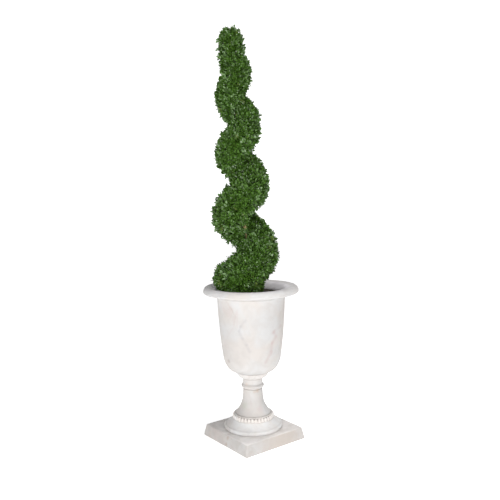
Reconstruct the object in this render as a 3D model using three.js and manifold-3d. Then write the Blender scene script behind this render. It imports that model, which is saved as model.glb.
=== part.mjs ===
// Spiral topiary in a classical urn.
//
// One clipped evergreen, trained as a right-handed spiral round a single leaning trunk,
// grows in the earth of a round urn that stands on a square plinth.
// Millimetres, +Z up. The origin is the centre of the plinth's underside.

import * as THREE from 'three';
import { mergeVertices } from 'three/addons/utils/BufferGeometryUtils.js';
import Module from 'manifold-3d';

const wasm = await Module();
wasm.setup();

// ---------------------------------------------------------------------------
// Driving dimensions
// ---------------------------------------------------------------------------

const GAP = 0.3; // clearance kept between neighbouring pieces

// The urn, from the ground up. Each height is the piece's own.
const PLINTH_SIDE = 312;
const PLINTH_TOP_SIDE = 292.7;
const PLINTH_HEIGHT = 49;
const PLINTH_ROUNDING = 5;
const FOOT_RADIUS = 124;
const FOOT_HEIGHT = 39.7;
const BAND_RADIUS = 89;
const BAND_HEIGHT = 22.2;
const BAND_SLANT = 6.5; // by which the band narrows upwards
const BEADS = 36;
const BEAD_DEPTH = 5.5;
const STEM_FOOT_RADIUS = 76;
const STEM_HEIGHT = 149.2;
const STEM_WAIST = 40.8;
const COLLAR_RADIUS = 72.5;
const COLLAR_HEIGHT = 29.4;
const BOWL_HEIGHT = 363;
const BOWL_RADIUS = 143; // the body, just under the lip
const RIM_RADIUS = 200.5;
const LIP_RIDGE_RADIUS = 190; // the lip's highest ring
const LIP_SHOULDER_RADIUS = 155; // where its gentle slope inwards turns down
const LIP_SHOULDER_DROP = 5; // from the ridge to the shoulder
const MOUTH_RADIUS = 131;
const LIP_FALL = 29; // from the ridge to the mouth
const EARTH_LEVEL = 333; // top of the earth, above the bowl's underside
const EARTH_CLEARANCE = 0.8; // of the earth from the bowl's wall
const LATHE_STEPS = 40;

// The trunk leans from the middle of the urn.
const LEAN_DIRECTION = THREE.MathUtils.degToRad(142.82);
const TRUNK_LEAN = 0.063; // sideways for each millimetre of height
const TRUNK_TOP = 1692;
const TRUNK_RADIUS = 10.5; // above the root flare
const TRUNK_TIP_RADIUS = 3.5;
const ROOT_FLARE = 8; // added to the radius at the ground
const FLARE_HEIGHT = 24; // over which the flare falls to about a third
const TRUNK_SIDES = 10;
const TRUNK_LEVELS = 12;

// The spiral is a rope of foliage wound round the trunk, thinner and closer as it climbs.
const START_ANGLE = THREE.MathUtils.degToRad(164.52);
const START_TURN = -0.27;
const END_TURN = 4.13;
const TAPER_TURNS = 4.5; // the number of turns that the sizes below are given over
const ROPE_HEIGHT = 677.6; // centre of the rope at turn 0
const ROPE_PITCH = 308.3; // height gained by the first turn
const PITCH_LOSS = 17.1; // by which the climb slackens, for each turn squared
const FOOT_PITCH = 170; // of the part below turn 0, which lies flatter
const ROPE_OFFSET = [63.3, 1]; // centre of the rope from its axis, at the foot and the tip
const ROPE_RADIUS = [85.6, 46.6]; // out to the leaf tips, at the foot and the tip
const ROPE_SWELL = 3.6; // thicker and nearer the axis half way up
const ROPE_SHIFT = 8.4; // of the rope's axis, along the lean, at ground level
const ROPE_LEAN = 0.0465;
const ROPE_STEP = 0.02; // turns between the balls that the rope is swept from
const FOOT_LEVEL = 669; // below this height the foliage hangs straight down
const SKIRT_REACH = 141; // its foot is clipped back over the lip
const SKIRT_SLOPE = 0.5; // and let out again for each millimetre above it

// Clipped by hand, the rope is a little uneven: at every quarter turn, how much further its
// centre stands out and how much higher.
const UNEVEN_START = -0.5;
const UNEVEN_STEP = 0.25;
const UNEVEN_OUT = [0, -3, 0, 0, -9, 8, 0, 1, -3, 0, -6, 0, 1, 4, 1, -1, -1, -5, 0, 8];
const UNEVEN_UP = [0, 0, 3, -7, 4, 4, 2, 3, 0, 8, -8, -18, 9, 2, 0, 2, 1, -9, 0, 0];

// The foliage is cut into level masses, each half a turn tall.
const FIRST_CUT = 0.18; // turn of the lowest cut
const TURNS_PER_MASS = 0.5;
const MASSES = 9;
const CORE_DEPTH = 9; // the clipped core lies this far below the leaf tips
const CORE_COLUMNS = 18;
const CORE_LEVELS = 5;
const CORE_HOLE = 1; // clearance of the core round the trunk
const LEAST_CORE = 3;
const LIP_CLEARANCE = 2; // of the core above the urn's lip, and twice that beside it

// Sprays stand out of the core. In each, a twig from the mass's stem carries leaves at its
// sides. Most twigs end under the core's skin in a last leaf, and some run on past it bare.
const SPRAY_SPACING = 56;
const SPRAY_TRIES = 1600;
const BARE_TIP_SHARE = 0.33;
const SIDE_LEAF_ANGLE = THREE.MathUtils.degToRad(56);
const LEAF_LENGTH = 34;
const LEAF_WIDTH = 19;
const LEAF_THICKNESS = 3;
const LEAF_ROOM = 8; // above the crown, for the leaves on top
const CROWN_TILT = 0.2; // of the topmost spray, along the lean for each part upwards
const SIDE_ROOT_DEPTH = 16; // of side leaves, below the rope's surface
const TIP_ROOT_DEPTH = 30; // of a last leaf
const TWIG_RADII = [2.8, 1.8];
const TWIG_END_DEPTHS = { bare: -3, leafy: 14 };
const STEM_RADII = [4.5, 2.5];
const STEM_POINTS = 7;
const STEM_CLEARANCE = 5; // of the stem's line from the trunk's bark
const SEED = 20;

// Heights above the ground, worked out from the stack of pieces.
const footBase = PLINTH_HEIGHT + GAP;
const bandBase = footBase + FOOT_HEIGHT + GAP;
const stemBase = bandBase + BAND_HEIGHT + GAP;
const collarBase = stemBase + STEM_HEIGHT + GAP;
const bowlBase = collarBase + COLLAR_HEIGHT + GAP;
const rimTop = bowlBase + BOWL_HEIGHT;
const shoulderTop = rimTop - LIP_SHOULDER_DROP;
const earthTop = bowlBase + EARTH_LEVEL;
const trunkBase = earthTop + GAP;

// ---------------------------------------------------------------------------
// Materials
// ---------------------------------------------------------------------------

const stoneFinish = new THREE.MeshStandardMaterial({ color: 0xe4dfd8, roughness: 0.5, metalness: 0 });
const earthFinish = new THREE.MeshStandardMaterial({ color: 0x2b2119, roughness: 0.95, metalness: 0 });
const barkFinish = new THREE.MeshStandardMaterial({ color: 0x6b5236, roughness: 0.85, metalness: 0 });
const leafFinish = new THREE.MeshStandardMaterial({ color: 0x3a5f2d, roughness: 0.6, metalness: 0 });

// ---------------------------------------------------------------------------
// Shared helpers
// ---------------------------------------------------------------------------

function seededRandom(seed) {
	let state = seed;
	return () => {
		state = (state + 0x6d2b79f5) | 0;
		let mixed = Math.imul(state ^ (state >>> 15), 1 | state);
		mixed = (mixed + Math.imul(mixed ^ (mixed >>> 7), 61 | mixed)) ^ mixed;
		return ((mixed ^ (mixed >>> 14)) >>> 0) / 4294967296;
	};
}

function positionsOnly(geometry) {
	geometry.deleteAttribute('normal');
	geometry.deleteAttribute('uv');
	return mergeVertices(geometry, 1e-4);
}

function toSolid(geometry) {
	const merged = positionsOnly(geometry);
	return new wasm.Manifold(
		new wasm.Mesh({
			numProp: 3,
			vertProperties: new Float32Array(merged.attributes.position.array),
			triVerts: new Uint32Array(merged.index.array),
		}),
	);
}

function toGeometry(solid) {
	const mesh = solid.getMesh();
	const geometry = new THREE.BufferGeometry();
	geometry.setAttribute('position', new THREE.Float32BufferAttribute(mesh.vertProperties, 3));
	geometry.setIndex(Array.from(mesh.triVerts));
	geometry.computeVertexNormals();
	return geometry;
}

// A lathe turned about +Z from a path whose x is the radius and whose y is the height.
function turned(path, curveSteps, steps = LATHE_STEPS) {
	const geometry = new THREE.LatheGeometry(path.getPoints(curveSteps), steps);
	geometry.rotateX(Math.PI / 2);
	return geometry;
}

// A closed skin over level rings of equally many points, listed from the bottom up and
// anticlockwise, with flat ends.
function loft(rings) {
	const count = rings[0].length;
	const points = rings.flat();
	const triangles = [];
	for (let level = 0; level + 1 < rings.length; level++) {
		for (let i = 0; i < count; i++) {
			const a = level * count + i;
			const b = level * count + ((i + 1) % count);
			triangles.push(a, b, b + count, a, b + count, a + count);
		}
	}
	const bottom = points.length;
	const top = bottom + 1;
	const lastRing = (rings.length - 1) * count;
	points.push(middle(rings[0]), middle(rings.at(-1)));
	for (let i = 0; i < count; i++) {
		const next = (i + 1) % count;
		triangles.push(bottom, next, i, top, lastRing + i, lastRing + next);
	}
	const geometry = new THREE.BufferGeometry().setFromPoints(points);
	geometry.setIndex(triangles);
	geometry.computeVertexNormals();
	return geometry;
}

function middle(ring) {
	const sum = ring.reduce((total, point) => total.add(point), new THREE.Vector3());
	return sum.divideScalar(ring.length);
}

function along(direction, distance) {
	return new THREE.Vector3(Math.cos(direction) * distance, Math.sin(direction) * distance, 0);
}

// A straight tapering limb between two points.
function limb(start, end, radii, sides) {
	const run = end.clone().sub(start);
	const geometry = new THREE.CylinderGeometry(radii[1], radii[0], run.length(), sides);
	const turn = new THREE.Quaternion().setFromUnitVectors(
		new THREE.Vector3(0, 1, 0),
		run.clone().normalize(),
	);
	geometry.applyQuaternion(turn);
	const centre = start.clone().lerp(end, 0.5);
	geometry.translate(centre.x, centre.y, centre.z);
	return geometry;
}

// ---------------------------------------------------------------------------
// Urn
// ---------------------------------------------------------------------------

function roundedSquare(side, height, rounding) {
	const ring = [];
	const reach = side / 2 - rounding;
	for (let corner = 0; corner < 4; corner++) {
		const heading = Math.PI / 4 + (corner * Math.PI) / 2;
		const centre = along(heading, reach * Math.SQRT2);
		for (let step = -2; step <= 2; step++) {
			const point = along(heading + (step * Math.PI) / 8, rounding).add(centre);
			ring.push(point.setZ(height));
		}
	}
	return ring;
}

function plinth() {
	const slope = (PLINTH_SIDE - PLINTH_TOP_SIDE) / PLINTH_HEIGHT;
	const rings = [roundedSquare(PLINTH_SIDE, 0, PLINTH_ROUNDING)];
	for (let step = 0; step <= 3; step++) {
		const angle = (step * Math.PI) / 6;
		const height = PLINTH_HEIGHT - PLINTH_ROUNDING * (1 - Math.sin(angle));
		const inset = PLINTH_ROUNDING * (1 - Math.cos(angle));
		rings.push(roundedSquare(PLINTH_SIDE - slope * height - 2 * inset, height, PLINTH_ROUNDING));
	}
	return loft(rings);
}

function foot() {
	const path = new THREE.Path();
	path.moveTo(0, 0);
	path.lineTo(FOOT_RADIUS - 2, 0);
	path.lineTo(FOOT_RADIUS, 4);
	path.quadraticCurveTo(FOOT_RADIUS, 14, FOOT_RADIUS - 7.5, 16.5);
	path.lineTo(FOOT_RADIUS - 9.5, 17.2);
	path.quadraticCurveTo(BAND_RADIUS + 4, 19.5, BAND_RADIUS - 1.5, FOOT_HEIGHT);
	path.lineTo(0, FOOT_HEIGHT);
	return turned(path, 5);
}

// A band whose skin swells into a bead at every step round it.
function beadBand() {
	const inner = BAND_RADIUS - BEAD_DEPTH / 2;
	const columnsPerBead = 3;
	const levels = 5;
	const rings = [];
	for (let level = 0; level < levels; level++) {
		const rise = level / (levels - 1);
		const upright = 2 * rise - 1;
		const ring = [];
		for (let column = 0; column < BEADS * columnsPerBead; column++) {
			const across = (2 * (column % columnsPerBead)) / columnsPerBead - 1;
			const bulge = BEAD_DEPTH * Math.sqrt(Math.max(0, 1 - across * across - upright * upright));
			const heading = (column * 2 * Math.PI) / (BEADS * columnsPerBead);
			ring.push(along(heading, inner - BAND_SLANT * rise + bulge).setZ(BAND_HEIGHT * rise));
		}
		rings.push(ring);
	}
	return loft(rings);
}

function stem() {
	const path = new THREE.Path();
	path.moveTo(0, 0);
	path.lineTo(STEM_FOOT_RADIUS, 0);
	path.bezierCurveTo(STEM_FOOT_RADIUS - 12, 10.5, STEM_WAIST + 3.7, 36, STEM_WAIST + 1.4, 78);
	path.lineTo(STEM_WAIST, 102.6);
	path.lineTo(STEM_WAIST - 0.8, 104.8);
	path.lineTo(STEM_WAIST + 0.7, 107.3);
	path.quadraticCurveTo(STEM_WAIST + 13.7, 116.1, STEM_WAIST + 1.5, 125.5);
	path.lineTo(STEM_WAIST + 1, 128.3);
	path.lineTo(STEM_WAIST + 1, 146.3);
	path.lineTo(STEM_WAIST + 1.5, STEM_HEIGHT);
	path.lineTo(0, STEM_HEIGHT);
	return turned(path, 4, 32);
}

function collar() {
	const path = new THREE.Path();
	path.moveTo(0, 0);
	path.lineTo(STEM_WAIST + 1.2, 0);
	path.quadraticCurveTo(COLLAR_RADIUS - 14, 3.5, COLLAR_RADIUS - 6.5, 18);
	path.lineTo(COLLAR_RADIUS - 5, 22.5);
	path.lineTo(COLLAR_RADIUS - 0.5, 25.2);
	path.lineTo(COLLAR_RADIUS, COLLAR_HEIGHT);
	path.lineTo(0, COLLAR_HEIGHT);
	return turned(path, 3);
}

// The hollow's wall, from the mouth down to the middle of its floor.
function addHollow(path, clearance) {
	const mouth = MOUTH_RADIUS - clearance;
	path.lineTo(mouth - 1, EARTH_LEVEL - 30);
	path.quadraticCurveTo(mouth - 8, 160, mouth - 24, 64 + clearance);
	path.quadraticCurveTo(mouth - 32, 24 + clearance, 44, 20 + clearance);
	path.lineTo(0, 20 + clearance);
}

function bowl() {
	const path = new THREE.Path();
	path.moveTo(0, 0);
	path.lineTo(COLLAR_RADIUS + 0.5, 0);
	path.quadraticCurveTo(109.5, 8, 121.5, 61);
	path.quadraticCurveTo(136.5, 165, BOWL_RADIUS, 309);
	path.lineTo(BOWL_RADIUS, 321);
	path.lineTo(160, 327.5);
	path.lineTo(178, 331.5);
	path.quadraticCurveTo(RIM_RADIUS - 2.5, 332.5, RIM_RADIUS, 341);
	path.quadraticCurveTo(RIM_RADIUS + 1, BOWL_HEIGHT - 7, LIP_RIDGE_RADIUS, BOWL_HEIGHT);
	path.lineTo(LIP_SHOULDER_RADIUS, BOWL_HEIGHT - LIP_SHOULDER_DROP);
	path.quadraticCurveTo(LIP_SHOULDER_RADIUS - 15, BOWL_HEIGHT - 7, MOUTH_RADIUS, BOWL_HEIGHT - LIP_FALL);
	addHollow(path, 0);
	return turned(path, 3);
}

function earth() {
	const path = new THREE.Path();
	path.moveTo(0, EARTH_LEVEL);
	path.lineTo(MOUTH_RADIUS - EARTH_CLEARANCE, EARTH_LEVEL);
	addHollow(path, EARTH_CLEARANCE);
	const listed = path.getPoints(3).reverse();
	const geometry = new THREE.LatheGeometry(listed, LATHE_STEPS / 2);
	geometry.rotateX(Math.PI / 2);
	return geometry;
}

// ---------------------------------------------------------------------------
// Trunk
// ---------------------------------------------------------------------------

function trunkAxis(height) {
	return along(LEAN_DIRECTION, TRUNK_LEAN * (height - trunkBase)).setZ(height);
}

function trunkRadius(height) {
	const rise = THREE.MathUtils.clamp((height - trunkBase) / (TRUNK_TOP - trunkBase), 0, 1);
	const flare = ROOT_FLARE * Math.exp(-(height - trunkBase) / FLARE_HEIGHT);
	return THREE.MathUtils.lerp(TRUNK_RADIUS, TRUNK_TIP_RADIUS, rise) + Math.max(0, flare);
}

// The trunk, thickened by a margin all round and lengthened by it at both ends.
function trunk(margin = 0) {
	const rings = [];
	for (let level = 0; level < TRUNK_LEVELS; level++) {
		const rise = (level / (TRUNK_LEVELS - 1)) ** 1.6;
		const height = THREE.MathUtils.lerp(trunkBase - margin, TRUNK_TOP + margin, rise);
		const reach = trunkRadius(height) + margin;
		const ring = [];
		for (let side = 0; side < TRUNK_SIDES; side++) {
			ring.push(along((side * 2 * Math.PI) / TRUNK_SIDES, reach).add(trunkAxis(height)));
		}
		rings.push(ring);
	}
	return loft(rings);
}

// ---------------------------------------------------------------------------
// The foliage rope
// ---------------------------------------------------------------------------

function unevenness(table, turn) {
	const place = (turn - UNEVEN_START) / UNEVEN_STEP;
	const step = Math.floor(place);
	return THREE.MathUtils.lerp(table[step], table[step + 1], place - step);
}

function ropeAt(turn) {
	const rise = turn / TAPER_TURNS;
	const swell = ROPE_SWELL * 4 * rise * (1 - rise);
	const climb = turn < 0 ? FOOT_PITCH * turn : ROPE_PITCH * turn - PITCH_LOSS * turn * turn;
	const height = ROPE_HEIGHT + climb + unevenness(UNEVEN_UP, turn);
	const shift = ROPE_SHIFT + ROPE_LEAN * (height - trunkBase);
	const offset = THREE.MathUtils.lerp(...ROPE_OFFSET, rise) - swell + unevenness(UNEVEN_OUT, turn);
	const heading = START_ANGLE + 2 * Math.PI * turn;
	return {
		heading,
		offset,
		radius: THREE.MathUtils.lerp(...ROPE_RADIUS, rise) + swell,
		centre: along(LEAN_DIRECTION, shift).add(along(heading, offset)).setZ(height),
	};
}

const ropeBalls = [];
for (let turn = START_TURN; turn <= END_TURN; turn += ROPE_STEP) {
	ropeBalls.push(ropeAt(turn));
}

// The rope's surface as seen from the trunk: the furthest point, at one height and heading,
// inside any ball of the rope, each ball shrunk by a depth. It gives that point's distance
// from the trunk's axis and the ball that it lies on.
function ropeSurface(heading, height, depth) {
	const level = Math.max(height, FOOT_LEVEL);
	const axis = trunkAxis(level);
	const ray = along(heading, 1);
	const surface = { reach: 0, ball: null };
	for (const ball of ropeBalls) {
		const radius = ball.radius - depth;
		const rise = level - ball.centre.z;
		if (Math.abs(rise) >= radius) continue;
		const toCentre = ball.centre.clone().sub(axis).setZ(0);
		const forward = toCentre.dot(ray);
		const room = radius * radius - rise * rise - (toCentre.lengthSq() - forward * forward);
		if (room <= 0) continue;
		const reach = forward + Math.sqrt(room);
		if (reach > surface.reach) {
			surface.reach = reach;
			surface.ball = ball;
		}
	}
	const skirt = SKIRT_REACH + SKIRT_SLOPE * Math.max(0, height - rimTop) - depth;
	surface.reach = Math.min(surface.reach, skirt);
	return surface;
}

// Top of the earth and the lip at a distance from the urn's axis.
function potTop(distance) {
	if (distance < MOUTH_RADIUS) return earthTop;
	const share = (from, to) => THREE.MathUtils.clamp((distance - from) / (to - from), 0, 1);
	const inside = share(MOUTH_RADIUS, LIP_SHOULDER_RADIUS);
	const outside = share(LIP_SHOULDER_RADIUS, LIP_RIDGE_RADIUS);
	const fall = (LIP_FALL - LIP_SHOULDER_DROP) * (1 - inside) ** 2;
	return shoulderTop - fall + LIP_SHOULDER_DROP * outside;
}

// Distance from the urn's axis that is free of the lip at a height. Above the lip's shoulder
// the skirt keeps the foliage inside the lip's gentle slope.
function mouthReach(height) {
	const clear = shoulderTop + LIP_CLEARANCE;
	if (height > clear) return Infinity;
	const fall = Math.sqrt((clear - height) / (LIP_FALL - LIP_SHOULDER_DROP));
	return MOUTH_RADIUS + (LIP_SHOULDER_RADIUS - MOUTH_RADIUS) * (1 - fall) - 2 * LIP_CLEARANCE;
}

// ---------------------------------------------------------------------------
// One mass: a clipped core round the trunk, one stem in it, and sprays standing out of it
// ---------------------------------------------------------------------------

function core(space) {
	const rings = [];
	for (let level = 0; level < CORE_LEVELS; level++) {
		const height = THREE.MathUtils.lerp(space.bottom, space.coreTop, level / (CORE_LEVELS - 1));
		const ring = [];
		for (let column = 0; column < CORE_COLUMNS; column++) {
			const heading = (column * 2 * Math.PI) / CORE_COLUMNS;
			const reach = ropeSurface(heading, height, CORE_DEPTH).reach;
			const kept = Math.max(LEAST_CORE, Math.min(reach, mouthReach(height)));
			ring.push(along(heading, kept).add(trunkAxis(height)));
		}
		rings.push(ring);
	}
	return toSolid(loft(rings)).subtract(toSolid(trunk(CORE_HOLE)));
}

// The stem leaves the trunk low in the mass and follows the rope's centre line up through it.
function stemLine(space) {
	const line = [];
	for (let i = 0; i < STEM_POINTS; i++) {
		const turn = THREE.MathUtils.lerp(space.firstTurn, space.lastTurn, (i + 1) / (STEM_POINTS + 1));
		const rope = ropeAt(turn);
		const axis = trunkAxis(rope.centre.z);
		const outward = rope.centre.clone().sub(axis);
		const least = trunkRadius(rope.centre.z) + STEM_CLEARANCE;
		if (outward.length() < least) outward.copy(along(rope.heading, least));
		line.push(axis.add(outward));
	}
	return line;
}

function clearsTrunk(start, end, margin) {
	for (let step = 0; step <= 6; step++) {
		const point = start.clone().lerp(end, step / 6);
		const axis = trunkAxis(point.z);
		if (point.z > TRUNK_TOP + margin) continue;
		if (point.distanceTo(axis) < trunkRadius(point.z) + margin) return false;
	}
	return true;
}

function insideSpace(point, space, margin) {
	if (point.z < space.bottom + margin || point.z > space.top - margin) return false;
	return point.z > potTop(Math.hypot(point.x, point.y)) + margin;
}

// A leaf is a slim keeled blade, pointed at both ends: a three-sided sphere of two bands.
function leaf(root, direction, across) {
	const keel = new THREE.Vector3().crossVectors(direction, across);
	const placing = new THREE.Matrix4().makeBasis(
		keel.multiplyScalar(LEAF_THICKNESS / 1.5),
		direction.clone().multiplyScalar(LEAF_LENGTH / 2),
		across.clone().multiplyScalar(LEAF_WIDTH / Math.sqrt(3)),
	);
	placing.setPosition(root.clone().addScaledVector(direction, LEAF_LENGTH / 2));
	return new THREE.SphereGeometry(1, 3, 2).applyMatrix4(placing);
}

function leafFits(root, direction, side, space) {
	const tip = root.clone().addScaledVector(direction, LEAF_LENGTH);
	const waist = root.clone().lerp(tip, 0.5);
	const left = waist.clone().addScaledVector(side, LEAF_WIDTH / 2);
	const right = waist.clone().addScaledVector(side, -LEAF_WIDTH / 2);
	const corners = [root, tip, left, right];
	return (
		corners.every((point) => insideSpace(point, space, LEAF_THICKNESS)) &&
		clearsTrunk(root, tip, LEAF_THICKNESS) &&
		clearsTrunk(left, right, LEAF_THICKNESS)
	);
}

// Even places for the sprays: random places on the rope's surface, kept where no other is near.
// The last mass starts with the crown's own place.
function sprayPlaces(space, random) {
	const places = space.crownPlace ? [space.crownPlace] : [];
	for (let attempt = 0; attempt < SPRAY_TRIES; attempt++) {
		const heading = 2 * Math.PI * random();
		const height = THREE.MathUtils.lerp(space.bottom + 5, space.top - 5, random());
		const surface = ropeSurface(heading, height, 0);
		if (!surface.ball) continue;
		const tip = along(heading, surface.reach).add(trunkAxis(height));
		if (places.some((place) => place.tip.distanceTo(tip) < SPRAY_SPACING)) continue;
		places.push({ tip, outward: tip.clone().sub(surface.ball.centre).normalize() });
	}
	return places;
}

// One spray: its twig from the stem, and the leaves round it.
function spray(place, line, space, random) {
	const isBare = random() < BARE_TIP_SHARE;
	const endDepth = isBare ? TWIG_END_DEPTHS.bare : TWIG_END_DEPTHS.leafy;
	const end = place.tip.clone().addScaledVector(place.outward, -endDepth);
	const sideRoot = place.tip.clone().addScaledVector(place.outward, -SIDE_ROOT_DEPTH);
	const tipRoot = place.tip.clone().addScaledVector(place.outward, -TIP_ROOT_DEPTH);
	const starts = line
		.filter((start) => clearsTrunk(start, end, TWIG_RADII[0]))
		.sort((a, b) => a.distanceTo(end) - b.distanceTo(end));
	if (starts.length === 0 || !insideSpace(end, space, TWIG_RADII[0])) return [];

	const pieces = [limb(starts[0], end, TWIG_RADII, 3)];
	const level = new THREE.Vector3(0, 0, 1).cross(place.outward).normalize();
	level.applyAxisAngle(place.outward, 2 * Math.PI * random());
	if (!isBare && leafFits(tipRoot, place.outward, level, space)) {
		pieces.push(leaf(tipRoot, place.outward, level));
	}
	const sideLeaves = isBare ? 3 : 2;
	for (let i = 0; i < sideLeaves; i++) {
		for (let attempt = 0; attempt < 6; attempt++) {
			const around = ((i + attempt / 6) * 2 * Math.PI) / sideLeaves;
			const hinge = level.clone().applyAxisAngle(place.outward, around);
			const direction = place.outward.clone().applyAxisAngle(hinge, SIDE_LEAF_ANGLE);
			if (!leafFits(sideRoot, direction, hinge, space)) continue;
			pieces.push(leaf(sideRoot, direction, hinge));
			break;
		}
	}
	return pieces;
}

function mass(index) {
	const firstTurn = index === 0 ? START_TURN : FIRST_CUT + (index - 1) * TURNS_PER_MASS;
	const lastTurn = index === MASSES - 1 ? END_TURN : FIRST_CUT + index * TURNS_PER_MASS;
	const crown = ropeAt(END_TURN);
	const crownTop = crown.centre.z + crown.radius;
	const upward = along(LEAN_DIRECTION, CROWN_TILT).setZ(1).normalize();
	const crownTip = crown.centre.clone().addScaledVector(upward, crown.radius);
	const bottom = index === 0 ? earthTop + 3 : ropeAt(firstTurn).centre.z + GAP;
	const top = index === MASSES - 1 ? crownTop + LEAF_ROOM : ropeAt(lastTurn).centre.z - GAP;
	const space = {
		firstTurn: Math.max(firstTurn, -0.1),
		lastTurn,
		bottom,
		top,
		coreTop: index === MASSES - 1 ? crownTop - CORE_DEPTH - 1 : top,
		crownPlace: index === MASSES - 1 ? { tip: crownTip, outward: upward } : null,
	};
	const random = seededRandom(SEED + index);
	const line = stemLine(space);
	let solid = core(space);
	const pieces = [limb(trunkAxis(line[0].z - 4), line[0], STEM_RADII, 5)];
	for (let i = 0; i + 1 < line.length; i++) {
		pieces.push(limb(line[i], line[i + 1], [STEM_RADII[1], STEM_RADII[1]], 5));
	}
	for (const place of sprayPlaces(space, random)) {
		pieces.push(...spray(place, line, space, random));
	}
	for (const piece of pieces) solid = solid.add(toSolid(piece));
	solid = solid.subtract(toSolid(trunk(GAP)));
	const bodies = solid.decompose().sort((a, b) => b.volume() - a.volume());
	return toGeometry(bodies[0]);
}

// ---------------------------------------------------------------------------
// Assembly
// ---------------------------------------------------------------------------

function named(name, geometry, material, height = 0) {
	const mesh = new THREE.Mesh(geometry, material);
	mesh.name = name;
	mesh.position.z = height;
	return mesh;
}

const urn = new THREE.Group();
urn.add(
	named('plinth', plinth(), stoneFinish),
	named('foot', foot(), stoneFinish, footBase),
	named('bead_band', beadBand(), stoneFinish, bandBase),
	named('stem', stem(), stoneFinish, stemBase),
	named('collar', collar(), stoneFinish, collarBase),
	named('bowl', bowl(), stoneFinish, bowlBase),
	named('earth', earth(), earthFinish, bowlBase),
);

const plant = new THREE.Group();
plant.add(named('trunk', trunk(), barkFinish));
for (let index = 0; index < MASSES; index++) {
	plant.add(named(`foliage_${index + 1}`, mass(index), leafFinish));
}

const group = new THREE.Group();
group.add(urn, plant);

export default group;
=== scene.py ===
# %% [markdown]
# # A spiral topiary in a marble urn
#
# A box tree clipped to a spiral stands in a pale marble urn with a lipped bowl, a turned stem,
# a beaded foot and a square plinth. The solid model gives every size. This lesson dresses it:
# the urn is turned finely, the trunk gets bark, and the foliage grows again leaf by leaf.
# Lengths are in metres, +Z is up, and the plinth stands on Z = 0.

# %% Load the solid model
import math

import bpy
import numpy as np
from mathutils import Matrix, Vector, noise


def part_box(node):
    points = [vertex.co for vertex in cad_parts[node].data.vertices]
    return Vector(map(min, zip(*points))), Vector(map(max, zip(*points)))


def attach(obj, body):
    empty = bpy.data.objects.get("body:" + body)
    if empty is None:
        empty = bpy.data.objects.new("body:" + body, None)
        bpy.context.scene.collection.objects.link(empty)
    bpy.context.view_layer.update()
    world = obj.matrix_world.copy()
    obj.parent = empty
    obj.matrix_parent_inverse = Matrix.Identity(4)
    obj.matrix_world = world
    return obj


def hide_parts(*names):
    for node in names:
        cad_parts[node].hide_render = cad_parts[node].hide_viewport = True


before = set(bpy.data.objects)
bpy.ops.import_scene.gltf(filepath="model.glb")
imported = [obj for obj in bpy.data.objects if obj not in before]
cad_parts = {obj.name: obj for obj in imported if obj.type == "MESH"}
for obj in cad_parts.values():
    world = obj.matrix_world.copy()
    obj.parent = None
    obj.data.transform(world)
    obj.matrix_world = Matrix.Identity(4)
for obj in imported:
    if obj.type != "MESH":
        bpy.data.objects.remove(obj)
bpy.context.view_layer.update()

# %% [markdown]
# ## Camera
#
# The camera stands a little above the middle of the whole piece, about two and a half metres
# away, and looks a few degrees down on one corner of the plinth. It is tipped by about one
# degree. A camera looks along its own -Z, so it is raised by a right angle less the pitch,
# then turned round the piece. That side is called the front from here on, and FRONT_AZIMUTH
# is how far it is turned from the -Y axis.

# %% Place the camera
FRONT_AZIMUTH = math.radians(-37.15)
VIEW_PITCH = math.radians(4.98)
VIEW_ROLL = math.radians(-1.15)
VIEW_DISTANCE = 2.457
VIEW_HEIGHT = 1.0185

camera_data = bpy.data.cameras.new("camera")
camera_data.sensor_width = 36
camera_data.lens = 42.48
camera = bpy.data.objects.new("camera", camera_data)
bpy.context.scene.collection.objects.link(camera)
camera.matrix_world = (
    Matrix.Rotation(FRONT_AZIMUTH, 4, "Z")
    @ Matrix.Translation((0, -VIEW_DISTANCE, VIEW_HEIGHT))
    @ Matrix.Rotation(math.pi / 2 - VIEW_PITCH, 4, "X")
    @ Matrix.Rotation(VIEW_ROLL, 4, "Z")
)
bpy.context.scene.camera = camera
bpy.context.scene.view_settings.view_transform = "Standard"
print("camera at", [round(value, 3) for value in camera.location])

# %% [markdown]
# ## Floor and backdrop
#
# Pale stone on a white ground keeps its form when the room is a little dimmer than the ground
# it stands on. Stronger lamps would whiten a plain floor too, but they would also bleach the
# stone. So the floor glows softly by itself, as a light table does, and so does a backdrop far
# behind. Both are staging and not a part of the piece.

# %% Lay the floor and stand the backdrop
STAGE_WHITE = (0.80, 0.80, 0.80)
FLOOR_SIZE = 50
FLOOR_GLOW = 0.68
BACKDROP_SIZE = 19.4
BACKDROP_DISTANCE = 19
BACKDROP_GLOW = 0.95


def paint_plain(name, colour, glow):
    material = bpy.data.materials.new(name)
    material.use_nodes = True
    shader = material.node_tree.nodes["Principled BSDF"]
    shader.inputs["Base Color"].default_value = (*colour, 1)
    shader.inputs["Roughness"].default_value = 0.9
    shader.inputs["Emission Color"].default_value = (1, 1, 1, 1)
    shader.inputs["Emission Strength"].default_value = glow
    return material


def round_the_piece(azimuth, distance, height):
    """A place at an azimuth in degrees from the front, counted to the right."""
    heading = FRONT_AZIMUTH + math.radians(azimuth)
    return Vector((math.sin(heading) * distance, -math.cos(heading) * distance, height))


bpy.ops.object.select_all(action="DESELECT")
bpy.ops.mesh.primitive_plane_add(size=FLOOR_SIZE, location=(0, 0, 0))
floor = bpy.context.active_object
floor.name = "floor"
floor.data.materials.append(paint_plain("pale_floor", STAGE_WHITE, FLOOR_GLOW))

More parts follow.
